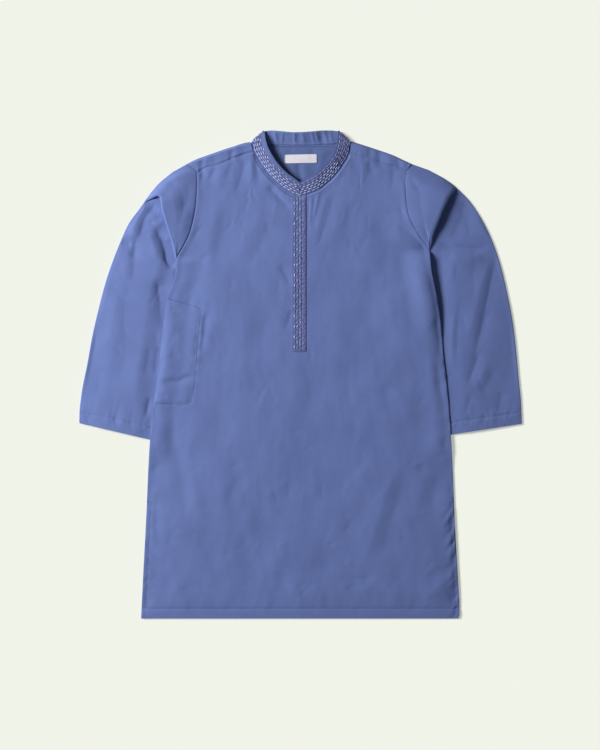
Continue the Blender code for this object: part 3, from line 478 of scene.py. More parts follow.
YOKE_CREASES = (
    (4.5, -1.08, (-188, 438), (-190, 426), (-193, 415)),
    (4.5, 0.48, (-127, 463), (-126, 455), (-125, 447)),
    (3.7, -1.2, (-141, 459), (-141, 448), (-143, 434)),
    (4.5, -0.48, (-113, 467), (-113, 455), (-115, 442)),
    (4, -1.2, (142, 465), (141, 453), (140, 438)),
    (5, 0.96, (182, 449), (184, 437), (186, 425)),
    (4.5, -0.96, (198, 443), (200, 431), (204, 419)),
)
YOKE_INSIDE_CREASES = (
    ((4.5, 6.8), -2.0, (-5, 437), (-3, 418), (3, 390)),
    (4.5, 1.0, (4, 431), (6, 414), (8, 394)),
    (3.5, -1.1, (-52, 468), (-40, 444), (-28, 419)),
    (4, 0.9, (46, 467), (42, 438), (34, 405)),
    (3.5, -1.0, (26, 466), (24, 456), (19, 448)),
    (3.5, -1.0, (-23, 467), (-21, 457), (-21, 451)),
)

# Stitching: its pitch, how far the slits' row lies from their edges, the cuffs' from their ends in stations
STITCH = 3.3
SLIT_STITCH = 8.0
CUFF_STITCH = {"right": 1.0, "left": 0.59}
POCKET_LINE = ((-270, 155), (-252, 149), (-236, 144), (-222, 140.5), (-208, 137), (-204, 130), (-206, 110),
               (-210, 76), (-214, 20), (-219, -30), (-226, -58), (-240, -60.5), (-262, -60), (-297, -58))
BAR_TACKS = ((-277, -59.5, 0.0), (-262, 152, -0.3))
BAR_TACK_HALF = 4.5
EMBROIDERY_WIDTH = {"lavender": 1.9, "periwinkle": 1.8, "mauve": 1.5, "plum": 1.0}
# Rows of the placket: x, pitch, stitch length, start in pitches, thread; and the ribs that they press into it
PLACKET_RIB = 0.16
PLACKET_CORNER = 3.0
ROW_PITCH = 5.9
PLACKET_ROWS = (
    (-12.3, 21.0, 5.6, 0.3, "lavender"),
    (-12.1, 21.0, 5.0, 0.8, "mauve"),
    (-6.7, 10.5, 6.6, 0.4, "periwinkle"),
    (-6.5, 31.5, 4.4, 0.55, "lavender"),
    (-0.6, 10.5, 6.6, 0.9, "periwinkle"),
    (-0.5, 21.0, 3.6, 0.7, "lavender"),
    (5.6, 10.5, 6.2, 0.4, "periwinkle"),
    (5.9, 21.0, 4.4, 0.45, "mauve"),
    # Dark rows between the light ones: painted shade between the rows.
    (-9.5, 8.4, 6.8, 0.3, "plum"),
    (-3.6, 8.4, 6.8, 0.8, "plum"),
    (2.5, 8.4, 6.8, 0.1, "plum"),
    (8.6, 8.4, 6.4, 0.6, "mauve"),
)
# Rows of the collar: share of the way up the band, pitch, stitch length, start, thread, part of the way round
COLLAR_ROWS = tuple(
    (step, 9.8, long, start, shade, part)
    for step, long, start in ((0.12, 7.6, 0.4), (0.26, 7.4, 0.9), (0.40, 7.2, 0.3), (0.54, 7.0, 0.8))
    for shade, part in (("lavender", (0, 0.45)), ("periwinkle", (0.45, 0.79)), ("lavender", (0.79, 1)))
) + (
    (0.67, 19.6, 7.0, 0.5, "lavender", (0, 0.55)),
    (0.68, 9.8, 6.6, 0.3, "periwinkle", (0.55, 1)),
    (0.81, 9.8, 6.0, 0.8, "periwinkle", (0.6, 1)),
    (0.80, 9.8, 6.0, 0.2, "periwinkle", (0, 0.13)),
    # Dark rows between the light ones: painted shade between the rows.
    (0.19, 8.2, 7.0, 0.1, "plum", (0, 1)),
    (0.33, 8.2, 7.0, 0.6, "plum", (0, 1)),
    (0.47, 8.2, 7.0, 0.2, "plum", (0, 1)),
    (0.61, 8.2, 6.6, 0.7, "plum", (0, 1)),
    (0.745, 8.2, 6.4, 0.3, "plum", (0.58, 1)),
    (0.12, 9.8, 3.0, 0.9, "mauve", (0, 1)),
    (0.40, 9.8, 3.0, 0.8, "mauve", (0, 1)),
)

# Cloth and thread colours; each thread has its colour and roughness
COTTON_BLUE = (0.117, 0.165, 0.392)
# Darker cotton on the yoke's inner face seen inside the neck: painted shade.
COTTON_PAINTED_SHADE = (0.085, 0.125, 0.300)
BAND_BLUE = (0.102, 0.138, 0.330)
# The tape's off-white, greyed further for its place in the lower light inside the neck: partly its own
# colour, partly painted shade.
TAPE_WHITE_PAINTED_SHADE = (0.68, 0.66, 0.73)
SHEEN_BLUE = (0.75, 0.8, 1.0)
THREADS = {
    # Sewing thread darker than the real thread, laid in wide stitches: partly thread, partly painted shade of
    # the needle dimples.
    "sewing_thread": ((0.050, 0.066, 0.170), 0.6),
    "label_thread": ((0.62, 0.61, 0.68), 0.6),
    "thread_lavender": ((0.46, 0.52, 0.88), 0.5),
    "thread_periwinkle": ((0.26, 0.28, 0.56), 0.5),
    "thread_mauve": ((0.19, 0.17, 0.42), 0.5),
    # Near-black thread for the dark rows: painted shade between the embroidered rows.
    "thread_plum": ((0.042, 0.042, 0.13), 0.55),
}
# Weave: slubs per metre across and along a thread, patches per metre, and what the weave changes
SLUB_ACROSS = 900.0
SLUB_ALONG = 90.0
PATCHES_PER_METRE = 14.0
THREAD_SHADE = 0.03
THREAD_HEIGHT = 0.35
# The sewing thread's rise over the cloth, its stitches' length and width, the width of the thin and the bold
# rows, all of them wider than the thread so as to carry the painted shade of its dimples, and the pitches of
# the bold rows, the pocket line, the neck seam, the slits' ends and the bar tacks
STITCH_RISE = 0.05
STITCH_LONG = 2.7
STITCH_WIDE = 0.9
THIN_ROW = 1.0
BOLD_ROW = 1.4
BOLD_PITCH = 3.1
POCKET_PITCH = 2.9
NECK_PITCH = 3.0
SLIT_END_PITCH = 1.1
BAR_TACK_PITCH = 0.7
# Where the sewing runs: outside the neckline, inside the back neck, below the back yoke seam, on the yoke as
# parts of the way to the seam, on the collar as steps up the band, and on the placket in from its edges
NECK_STITCH = 5.6
BACK_NECK_Y = 465.6
BACK_NECK_Z = 1.2
BACK_YOKE_STITCH = 2.5
YOKE_STITCH_PARTS = (0.86, 0.92, 0.98)
COLLAR_STITCH_STEPS = (0.055, 0.945)
COLLAR_BESIDE = 0.02
PLACKET_STITCH = 1.7
PLACKET_END_STITCH = 2.7
# The embroidery's top and its distance from the placket's end, and by how much its single stitches stray
# along the row, across it, in direction and in length
ROWS_TOP_Y = 360
ROWS_END = 4
STRAY_ALONG = 0.35
STRAY_ASIDE = 0.28
STRAY_TURN = 0.12
STRAY_LENGTH = 0.14
# The label's ends: how much they narrow and how suddenly; its belly and its ripple
LABEL_NARROWING = 0.14
LABEL_NARROW_POWER = 18
LABEL_BELLY = 0.5
LABEL_RIPPLE = 0.18
TAPE_RISE = 0.5
LABEL_STITCH = 1.2
LABEL_STITCHES = 8
# The placket's height over the front, at its edges and inside them, and the width of its rounding
PLACKET_EDGE_RISE = 0.15
PLACKET_RISE = 0.7
PLACKET_ROUND = 2.6
# The yoke's part inside the neck, seen through the collar: half width, upper end, and how softly it ends
YOKE_INSIDE_HALF = 104
YOKE_INSIDE_TOP_Y = 470
YOKE_INSIDE_FADE = 30
YOKE_INSIDE_TOP_FADE = 14
# How far the yoke's ridge and its furrow lie from its front seam
YOKE_FURROW_AT = 4
YOKE_EDGE_FURROW_AT = 1.6
# The collar's wall: its share of the band at the top and at the foot, and where the back of the neck begins
COLLAR_TOP_WALL = 0.35
COLLAR_FOOT_WALL = 0.6
COLLAR_BACK_Y = 466
COLLAR_BACK_FADE = 5
# The back's gathers above the hem: the height of their middle and how far they reach
BACK_GATHERS_AT = 9
BACK_GATHERS_REACH = 22
SLUB_ROUGHNESS = 0.15
# Plies of a thread, in metres
PLY_PITCH = 0.0009
PLY_SHADE = 0.08
PLY_DEPTH = 0.00008

# Studio: floor, light and camera, in metres
FLOOR_Z = -0.0004
FLOOR_COLOUR = (0.50, 0.51, 0.47)
FLOOR_GLOW = (0.38, 0.39, 0.35)
FILL = 0.12
FILL_COLOUR = (0.92, 1.0, 1.1)
KEY_SIZE = 1.3
KEY_POWER = 196.0
WASH_POWER = 5.4
KEY_COLOUR = (1.0, 0.99, 0.97)
KEY_AZIMUTH = 160.0
KEY_ELEVATION = 31.0
KEY_DISTANCE = 3.4
CAMERA_HEIGHT = 6.0
CAMERA_X = -0.001
CAMERA_Y = -0.0012
VIEW_LENGTH = 1.534


def mix(start, end, share):
    """The value part of the way from start to end."""
    return start + (end - start) * share


def through(rows, at):
    """A smooth curve through (position, value, ...) rows, read where asked; it never overshoots."""
    table = np.asarray(rows, float)
    at = np.clip(np.asarray(at, float), table[0, 0], table[-1, 0])
    step = np.diff(table[:, 0])
    slope = np.diff(table[:, 1:], axis=0) / step[:, None]
    tangent = np.zeros_like(table[:, 1:])
    before, after = slope[:-1], slope[1:]
    same_way = before * after > 0
    tangent[1:-1] = np.where(same_way, 2 * before * after / np.where(same_way, before + after, 1), 0)
    tangent[0], tangent[-1] = slope[0], slope[-1]
    i = np.clip(np.searchsorted(table[:, 0], at, side="right") - 1, 0, len(step) - 1)
    h, t = step[i][..., None], ((at - table[i, 0]) / step[i])[..., None]
    value = (
        (2 * t**3 - 3 * t**2 + 1) * table[i, 1:]
        + (t**3 - 2 * t**2 + t) * h * tangent[i]
        + (3 * t**2 - 2 * t**3) * table[i + 1, 1:]
        + (t**3 - t**2) * h * tangent[i + 1]
    )
    return value[..., 0] if value.shape[-1] == 1 else value


def by_share(points, shares):
    """Points at the given shares of the length, seen from above, of a smooth curve through the points."""
    points = np.asarray(points, float)
    along = np.concatenate([[0], np.cumsum(np.hypot(*np.diff(points[:, :2], axis=0).T))])
    return through(np.column_stack([along / along[-1], points]), shares)


def smooth(t):
    """An S-curve from 0 to 1."""
    t = np.clip(t, 0, 1)
    return t * t * (3 - 2 * t)


def roll(t):
    """A quarter round from 0 at an edge to 1."""
    return np.sqrt(1 - (1 - np.clip(t, 0, 1)) ** 2)


def bell(distance, half_width):
    """A bell across a line: exp(-(distance / half width) ** 2)."""
    return np.exp(-((distance / half_width) ** 2))


def crease_bell(distance, half_width):
    """A bell with a sharper top, for creases: exp(-|distance / half width| ** 1.4)."""
    return np.exp(-(np.abs(distance / half_width) ** CREASE_POWER))


def furrow(distance, row):
    """The dip or ridge that a row of stitching makes beside itself; row is (height, half width)."""
    height, half_width = row
    return height * bell(distance, half_width)


def grid_of(x, y, z):
    """Three grids of coordinates as one grid of points."""
    return np.stack([x, y, z], axis=-1)


def edge_x(side, y):
    """Distance of the body's edge from the centre line: armhole above the underarm, side seam below."""
    underarm = side["armhole"][0][0]
    return np.where(y > underarm, through(side["armhole"], y), through(side["seam"], y))


def armhole_y(side, share):
    """The y of a share of the armhole, counted down from the shoulder fold."""
    underarm, shoulder = side["armhole"][0][0], side["armhole"][-1][0]
    return shoulder - np.asarray(share) * (shoulder - underarm)


def lift_at(x, y):
    """How far the body stands off the surface, over the sleeves tucked under its sides."""
    total = np.zeros_like(x)
    for side in SIDES.values():
        inside = edge_x(side, y) - side["sign"] * x
        total += through(side["lift"], y) * (1 - smooth((inside - LIFT_FLAT) / side["lift_slope"]))
    return total


def pocket_at(x, y):
    """How much the pocket bag raises the front."""
    inside = edge_x(SIDES["right"], y) + x
    top = mix(*POCKET_TOP, inside / POCKET_INSETS[1])
    across = smooth((POCKET_INSETS[1] - inside) / POCKET_FADE) * smooth(inside / POCKET_FADE)
    down = smooth((top - y) / POCKET_FADE) * smooth((y - POCKET_BOTTOM[1]) / POCKET_FADE)
    return POCKET_RAISE * across * down


def noise(x, y, size, seed):
    """Smooth noise from -1 to 1: random heights on a turned square lattice, blended by S-curves."""
    cells = 96
    lattice = np.random.RandomState(seed).uniform(-1, 1, (cells + 1, cells + 1))
    turn = np.radians(17 + 31 * (seed % 5))
    u = (x * np.cos(turn) + y * np.sin(turn)) / size + 48.3
    v = (y * np.cos(turn) - x * np.sin(turn)) / size + 48.7
    i, j = np.floor(u).astype(int), np.floor(v).astype(int)
    across, up = smooth(u - i), smooth(v - j)
    i, j = i % cells, j % cells
    low = mix(lattice[i, j], lattice[i + 1, j], across)
    high = mix(lattice[i, j + 1], lattice[i + 1, j + 1], across)
    return mix(low, high, up)


def crumple(x, y, layers):
    """Layers of noise added up; each is (height, how much y is drawn out, size, seed)."""
    return sum(height * noise(x, drawn_out * y, size, seed) for height, drawn_out, size, seed in layers)


def beside(x, y, line):
    """How far each point lies beside a broken line, with a sign, and its share of the way along the line."""
    line = np.asarray(line, float)
    step = np.diff(line, axis=0)
    run = np.hypot(*step.T)
    nearest = np.full(np.shape(x), np.inf)
    across, along = np.zeros(np.shape(x)), np.zeros(np.shape(x))
    covered = 0.0
    for (x0, y0), (ux, uy), length in zip(line[:-1], step / run[:, None], run):
        forward = np.clip((x - x0) * ux + (y - y0) * uy, 0, length)
        gap = np.hypot(x - x0 - forward * ux, y - y0 - forward * uy)
        side = (y - y0) * ux - (x - x0) * uy
        closer = gap < nearest
        nearest = np.where(closer, gap, nearest)
        across = np.where(closer, np.where(side < 0, -gap, gap), across)
        along = np.where(closer, covered + forward, along)
        covered += length
    return across, along / covered


def half_widths(width):
    """A crease's half widths on the two sides of its line, in mm.

    It is steeper on one side: the halves are CREASE_STEEP and CREASE_FLAT times the width, and a negative
    width swaps them. A pair of half widths stays as it is.
    """
    if isinstance(width, tuple):
        return width
    halves = round(CREASE_STEEP * abs(width), 1), round(CREASE_FLAT * abs(width), 1)
    return halves if width > 0 else halves[::-1]


def drawn(table):
    """Crease rows with their points drawn out to smooth lines: (minus width, plus width, height, line)."""
    return [(*half_widths(width), height, by_share(line, np.linspace(0, 1, 3 * len(line) - 1)))
            for width, height, *line in table]


def creases_at(x, y, table):
    """The height of all the creases of a drawn table: bells across their lines that fade at the ends."""
    total = np.zeros_like(x)
    x_low, x_high, y_low, y_high = x.min(), x.max(), y.min(), y.max()
    for minus, plus, height, line in table:
        reach = CREASE_REACH * max(minus, plus)
        (left, low), (right, high) = line.min(axis=0) - reach, line.max(axis=0) + reach
        if left > x_high or right < x_low or low > y_high or high < y_low:
            continue
        near = (x > left) & (x < right) & (y > low) & (y < high)
        across, along = beside(x[near], y[near], line)
        fade = smooth(CREASE_FADE[0] * along) * smooth(CREASE_FADE[1] * (1 - along))
        total[near] += height * crease_bell(across, np.where(across < 0, minus, plus)) * fade
    return total


def scattered(seed, count, box, long, wide, high, lean, spread):
    """Crease rows: short, slightly bent creases at random places in a box, about the direction lean.

    long, wide and high are the ranges of length, half width and height; most of them are troughs.
    """
    draw = np.random.RandomState(seed).uniform
    rows = []
    for _ in range(count):
        x, y, turn = draw(box[0], box[1]), draw(box[2], box[3]), np.radians(lean + draw(-spread, spread))
        half, bend, kind = draw(*long) / 2, draw(-0.3, 0.3), 1 if draw(0, 1) > TROUGH_SHARE else -1
        ux, uy = half * np.cos(turn), half * np.sin(turn)
        points = ((x - ux, y - uy), (x - bend * uy, y + bend * ux), (x + ux, y + uy))
        rows.append(((draw(*wide), draw(*wide)), kind * draw(*high), *points))
    return tuple(rows)


def raised(table):
    """The same rows, all of them ridges."""
    return tuple((width, abs(height), *line) for width, height, *line in table)


FRONT_CREASES, YOKE_CREASES = drawn(FRONT_CREASES), drawn(YOKE_CREASES)
YOKE_INSIDE_CREASES = drawn(YOKE_INSIDE_CREASES)
SLEEVE_CREASES, CAP_CREASES = ({name: drawn(rows) for name, rows in table.items()}
                               for table in (SLEEVE_CREASES, CAP_CREASES))
FRONT_FINE = drawn(
    scattered(201, 45, (-205, 205, 180, 420), (18, 60), (2.6, 5.0), (0.15, 0.5), 92, 38)
    + scattered(202, 50, (-270, 270, -60, 190), (18, 60), (2.6, 5.5), (0.12, 0.45), 90, 55)
    + scattered(203, 60, (-300, 300, -300, -50), (16, 55), (2.6, 5.5), (0.12, 0.45), 80, 70)
    + scattered(204, 70, (-310, 310, -480, -280), (14, 50), (2.6, 5.0), (0.15, 0.5), 20, 80)
)
BACK_FINE = drawn(raised(
    scattered(211, 50, (-300, 300, -470, 60), (25, 110), (3.0, 6.0), (0.3, 0.8), 80, 70)
    + scattered(212, 30, (-205, 205, 60, 370), (25, 90), (3.0, 6.0), (0.3, 0.8), 90, 45)
))
YOKE_FINE = drawn(raised(scattered(213, 24, (-200, 200, 385, 465), (14, 50), (3.0, 5.0), (0.3, 0.6), 80, 50)))
SLEEVE_FINE = {
    "right": drawn(scattered(221, 36, (-440, -250, -110, 390), (20, 70), (3.5, 7.0), (0.15, 0.5), 100, 42)),
    "left": drawn(scattered(222, 32, (250, 440, -110, 390), (20, 70), (3.5, 7.0), (0.12, 0.4), 75, 42)),
}
SLEEVE_UNDER_FINE = {
    name: drawn(raised(scattered(seed, 45, (*across, -120, 400), (20, 80), (3.0, 6.0), (0.3, 0.8), lean, 45)))
    for name, seed, across, lean in (("right", 223, (-445, -250), 100), ("left", 224, (250, 445), 80))
}


def puckers(across, along, row):
    """Small gathers that run away from a stitched line: noise along it, fading with distance from it."""
    height, reach, pitch, seed = PUCKERS[row]
    ripple = noise(along + 0.25 * across, across * 0.12, pitch, seed)
    ripple += 0.6 * noise(along - 0.3 * across, across * 0.15, 0.55 * pitch, seed + 7)
    return height * (ripple * bell(across, reach))


def length_of(line):
    """Length of a broken line, seen from above."""
    return np.hypot(*np.diff(np.asarray(line, float)[:, :2], axis=0).T).sum()


def front_z(x, y):
    """Height of the front's outer face: the laid form, folds, crumples, puckers and seam dips together."""
    height = np.full_like(x, LOFT)
    calm, ends, stitched = np.ones_like(x), np.ones_like(x), np.zeros_like(x)
    for name, side in SIDES.items():
        underarm, shoulder = side["armhole"][0][0], side["armhole"][-1][0]
        inside = edge_x(side, y) - side["sign"] * x
        open_edge = smooth((SLIT_TOP_Y - y) / SLIT_OPENING)
        edge = mix(SEAM_EDGE, HEM_EDGE, open_edge)
        edge += (FLAT_TUBE - SEAM_EDGE) * smooth((y - underarm + UNDERARM_RUN) / UNDERARM_RUN)
        armhole = through(ARMHOLE_HEIGHT[name], (shoulder - y) / (shoulder - underarm))
        edge = np.where(y > underarm, armhole, edge)
        steep = smooth((y - STEEP_FROM) / STEEP_FROM_RUN) * smooth((STEEP_TO - y) / STEEP_TO_RUN)
        rise = mix(SIDE_RISE["right"], SIDE_RISE[name], steep)
        height -= (LOFT - edge - SIDE_ROUND) * (1 - smooth(inside / rise))
        height -= SIDE_ROUND * (1 - roll(inside / SIDE_ROLL))
        calm *= smooth(inside / CALM_SIDE)
        ends *= smooth(inside / SEAM_TAPER)
        below, above = smooth((underarm - y) / UNDERARM_RUN), smooth((y - underarm) / ARMHOLE_RUN)
        gathers = puckers(inside, y, f"side_{name}") * below + puckers(inside, y, f"armhole_{name}") * above
        stitched += gathers * smooth(inside / EDGE_FADE)
        gathers = puckers(inside - SLIT_STITCH, y + inside, f"slit_{name}") * smooth(inside / SLIT_FADE)
        stitched += open_edge * (gathers + furrow(inside - SLIT_STITCH, SLIT_DIP))
    from_hem = y - HEM_Y
    height = mix(HEM_EDGE, height, smooth(from_hem / HEM_ROLL))
    calm *= smooth((from_hem - 4) / CALM_HEM)
    stitched += puckers(from_hem - HEM_DEPTH, x, "hem") * smooth((from_hem - 3) / HEM_DEPTH_FADE)
    stitched += furrow(from_hem - HEM_DEPTH, HEM_DIP) + furrow(from_hem - HEM_RIDGE_AT, HEM_RIDGE)

    below_seam, along_seam = beside(x, y, TOP_SEAM)
    below_seam, along_seam = np.abs(below_seam), along_seam * length_of(TOP_SEAM)
    at_neck = smooth((x - NECK_RIGHT_X) / NECK_FADE) * smooth((NECK_LEFT_X - x) / NECK_FADE)
    height += ends * mix(*SEAM_SWELLS, at_neck) * bell(below_seam, SEAM_SWELL_WIDTH)
    stitched -= mix(*SEAM_DIPS, at_neck) * bell(below_seam, SEAM_DIP_WIDTH)
    stitched += mix(*SEAM_RIDGES, at_neck) * bell(below_seam - SEAM_RIDGE_AT, SEAM_RIDGE_WIDTH)
    stitched += mix(*SEAM_PUCKERS, at_neck) * puckers(below_seam, along_seam, "top_seam")

    bag, bag_along = beside(x, y, POCKET_LINE)
    gathers = puckers(np.abs(bag), bag_along * length_of(POCKET_LINE), "pocket")
    fade = smooth(POCKET_LINE_FADE * bag_along) * smooth(POCKET_LINE_FADE * (1 - bag_along))
    stitched += fade * (gathers + furrow(bag, POCKET_DIP))
    soft = crumple(x, y, FRONT_CRUMPLE) + creases_at(x, y, FRONT_FINE)
    total = height + lift_at(x, y) + pocket_at(x, y) + calm * soft + stitched
    return total + mix(EDGE_CREASES, 1, calm) * creases_at(x, y, FRONT_CREASES)


def back_z(x, y):
    """Height of the back's lower face: flat, lifted over the sleeves, with low creases of its own."""
    soft = 0.9 * smooth(0.5 + noise(x, 0.7 * y, 90, 31)) + 0.5 * (1 + noise(x, 0.7 * y, 40, 32))
    soft += creases_at(x, y, BACK_FINE)
    above_hem = y - HEM_Y - HEM_DEPTH
    calm = smooth(above_hem / CALM_BACK_HEM)
    for side in SIDES.values():
        calm *= smooth((edge_x(side, y) - side["sign"] * x - 3) / SEAM_TAPER)
    gathers = PUCKERS["back_hem"][0] + puckers(above_hem, x, "back_hem")
    return lift_at(x, y) + calm * (soft + gathers * bell(above_hem - BACK_GATHERS_AT, BACK_GATHERS_REACH))


# --- meshes -------------------------------------------------------------------------------------------


def normals_of(grid, closed=False):
    """Unit normals of a grid of points: across the product of its two directions of travel."""
    if closed:
        padded = np.concatenate([grid[:, -1:], grid, grid[:, :1]], axis=1)
        sideways = (padded[:, 2:] - padded[:, :-2]) / 2
    else:
        sideways = np.gradient(grid, axis=1)
    normal = np.cross(sideways, np.gradient(grid, axis=0))
    return normal / np.maximum(np.linalg.norm(normal, axis=-1, keepdims=True), 1e-9)


def build(name, points, corners, starts, uv, finish, slot):
    """Puts a mesh into the scene, in metres, and gives it its finish and body.

    corners lists the point at every face's corners, starts says where each face begins in that list, and uv
    is the place of every corner in the cut. slot is not used.
    """
    mesh = bpy.data.meshes.new(name)
    mesh.vertices.add(len(points))
    mesh.vertices.foreach_set("co", (points * MM).astype(np.float32).ravel())
    mesh.loops.add(len(corners))
    mesh.loops.foreach_set("vertex_index", corners.astype(np.int32))
    mesh.polygons.add(len(starts))
    mesh.polygons.foreach_set("loop_start", starts.astype(np.int32))
    mesh.update(calc_edges=True)
    mesh.uv_layers.new(name="cut").data.foreach_set("uv", (uv * MM).astype(np.float32).ravel())
    mesh.materials.append(FINISHES[finish])
    mesh.shade_smooth()
    piece = bpy.data.objects.new(name, mesh)
    bpy.context.scene.collection.objects.link(piece)
    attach(piece, "root")
    return piece


def cloth(name, outer, inner, finish, uv=None, flip=False, closed=False, keep=None, reverse=False):
    """A closed thin shell that replaces the node of its name.

    Its outer and inner grid of points are joined by a wall along every free edge. closed joins the last
    column to the first, keep masks the cells, flip turns the faces over, and the last flag sets the inner
    face apart for the finish's painted inner colour: painted shade on the yoke, painted light on the collar.
    Where no uv is given, the cut is the shell seen from above.
    Returns the piece and the area of its outer face in square metres.
    """
    uv = outer[..., :2] if uv is None else uv
    rows, columns = outer.shape[:2]
    wide = columns + int(closed)
    vertex = np.arange(rows)[:, None] * columns + np.arange(wide) % columns
    place = np.arange(rows * wide).reshape(rows, wide)

    def corners(index):
        cells = np.stack([index[:-1, :-1], index[:-1, 1:], index[1:, 1:], index[1:, :-1]], axis=-1)
        cells = cells.reshape(-1, 4) if keep is None else cells[keep]
        return cells[:, ::-1] if flip else cells

    quads, uv_quads = corners(vertex), corners(place)
    far = rows * columns
    start, end = quads.ravel(), np.roll(quads, -1, axis=1).ravel()
    uv_start, uv_end = uv_quads.ravel(), np.roll(uv_quads, -1, axis=1).ravel()
    free = ~np.isin(start * far + end, end * far + start)
    rim = np.stack([end, start, start + far, end + far], axis=-1)[free]
    uv_rim = np.stack([uv_end, uv_start, uv_start, uv_end], axis=-1)[free]
    points = np.concatenate([outer.reshape(-1, 3), inner.reshape(-1, 3)])
    faces = np.concatenate([quads, quads[:, ::-1] + far, rim])
    uv_faces = np.concatenate([uv_quads, uv_quads[:, ::-1], uv_rim])
    used, faces = np.unique(faces, return_inverse=True)
    a, b, c, d = (outer.reshape(-1, 3)[quads[:, k]] for k in range(4))
    area = 0.5 * np.linalg.norm(np.cross(c - a, d - b), axis=-1).sum() * MM * MM
    piece = build(name, points[used], faces.ravel(), np.arange(0, faces.size, 4), uv.reshape(-1, 2)[uv_faces],
                  finish, finish)
    piece.data.set_sharp_from_angle(angle=np.radians(SHARP_ANGLE))
    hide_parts(name)
    # The inner face is set apart for the finish's painted inner colour (painted shade on the yoke, painted
    # light on the collar).
    if reverse:
        marks = piece.data.attributes.new("reverse", "FLOAT", "POINT")
        marks.data.foreach_set("value", (used >= far).astype(np.float32))
    return piece, area


def stitch_shape(rings, around):
    """A short thread lying down, as unit points and faces: rings that close to a pole at each end."""
    turn = np.linspace(0, 2 * np.pi, around, endpoint=False)
    at = np.cos(np.linspace(0, np.pi, rings + 2))[1:-1, None]
    wide = (1 - at**4) ** 0.5
    body = np.stack(np.broadcast_arrays(at, wide * np.cos(turn), wide * np.sin(turn)), axis=-1)
    points = np.concatenate([body.reshape(-1, 3), [[1, 0, 0], [-1, 0, 0]]])
    ring = np.arange(rings * around).reshape(rings, around)
    after = np.roll(ring, -1, axis=1)
    sides = np.stack([ring[:-1], ring[1:], after[1:], after[:-1]], axis=-1).reshape(-1, 4)
    top = np.stack([after[0], np.full(around, rings * around), ring[0]], axis=-1)
    foot = np.stack([ring[-1], np.full(around, rings * around + 1), after[-1]], axis=-1)
    return points, sides, np.concatenate([top, foot])


def stitches(name, centre, ahead, up, length, width, finish, slot, rings=2, around=5, flat=0.55):
    """Many stitches as one piece: at each centre the unit stitch, drawn out along ahead, flat against up."""
    points, sides, caps = stitch_shape(rings, around)
    ahead = ahead / np.linalg.norm(ahead, axis=-1, keepdims=True)
    sideways = np.cross(up, ahead)
    sideways /= np.linalg.norm(sideways, axis=-1, keepdims=True)
    up = np.cross(ahead, sideways)
    length, width = (np.broadcast_to(v, len(centre))[:, None, None] / 2 for v in (length, width))
    laid = centre[:, None] + points[:, :1] * length * ahead[:, None]
    laid = laid + points[:, 1:2] * width * sideways[:, None] + points[:, 2:] * width * flat * up[:, None]
    laid[..., 2] = np.maximum(laid[..., 2], 0.0)
    first = np.arange(len(centre))[:, None, None] * len(points)
    side_faces, cap_faces = (sides + first).reshape(-1, 4), (caps + first).reshape(-1, 3)
    corners = np.concatenate([side_faces.ravel(), cap_faces.ravel()])
    starts = np.concatenate([np.arange(len(side_faces)) * 4, side_faces.size + np.arange(len(cap_faces)) * 3])
    uv = np.stack([points[:, 0] * length[..., 0], points[:, 1] * width[..., 0]], axis=-1)
    return build(name, laid.reshape(-1, 3), corners, starts, uv.reshape(-1, 2)[corners], finish, slot)


def spaced(line, pitch, start=0.5):
    """Points every pitch along a broken line, seen from above, and the direction of the line at each."""
    line = np.asarray(line, float)[:, :2]
    step = np.diff(line, axis=0)
    covered = np.concatenate([[0], np.cumsum(np.hypot(*step.T))])
    at = np.arange(start * pitch, covered[-1], pitch)
    points = np.stack([np.interp(at, covered, line[:, k]) for k in (0, 1)], axis=-1)
    near = np.clip(np.searchsorted(covered, at) - 1, 0, len(step) - 1)
    return points, step[near] / np.hypot(*step[near].T)[:, None]


def on_surface(height, line, pitch, rise, start=0.5):
    """Centres, directions and normals of stitches that follow a line drawn on z = height(x, y)."""
    points, ahead = spaced(line, pitch, start)
    x, y = points.T
    step = 0.6
    here = height(x, y)
    slope_x = (height(x + step, y) - height(x - step, y)) / (2 * step)
    slope_y = (height(x, y + step) - height(x, y - step)) / (2 * step)
    up = np.stack([-slope_x, -slope_y, np.ones_like(x)], axis=-1)
    up /= np.linalg.norm(up, axis=-1, keepdims=True)
    ahead = np.column_stack([ahead, slope_x * ahead[:, 0] + slope_y * ahead[:, 1]])
    return np.column_stack([x, y, here]) + rise * up, ahead, up


# --- materials ----------------------------------------------------------------------------------------


def node(tree, kind, where, values=(), **settings):
    """One node of a material: its settings, then the values and links of its inputs by name or number."""
    made = tree.nodes.new(kind)
    made.location = where
    for key, value in settings.items():
        setattr(made, key, value)
    for key, value in dict(values).items():
        if isinstance(value, bpy.types.NodeSocket):
            tree.links.new(value, made.inputs[key])
        else:
            made.inputs[key].default_value = value
    return made


def maths(tree, operation, first, second, where=(0, 0), third=None):
    """A Math node on two or three values or links; gives its output."""
    values = {0: first, 1: second} if third is None else {0: first, 1: second, 2: third}
    return node(tree, "ShaderNodeMath", where, values, operation=operation).outputs[0]


def cloth_shader(name, roughness, **values):
    """A new material, its node tree and its cloth shader with the values given by the names of its inputs."""
    made = bpy.data.materials.new(name)
    made.use_nodes = True
    shader = made.node_tree.nodes["Principled BSDF"]
    shader.inputs["Roughness"].default_value = roughness
    for key, value in values.items():
        shader.inputs[key.replace("_", " ")].default_value = value
    return made, made.node_tree, shader


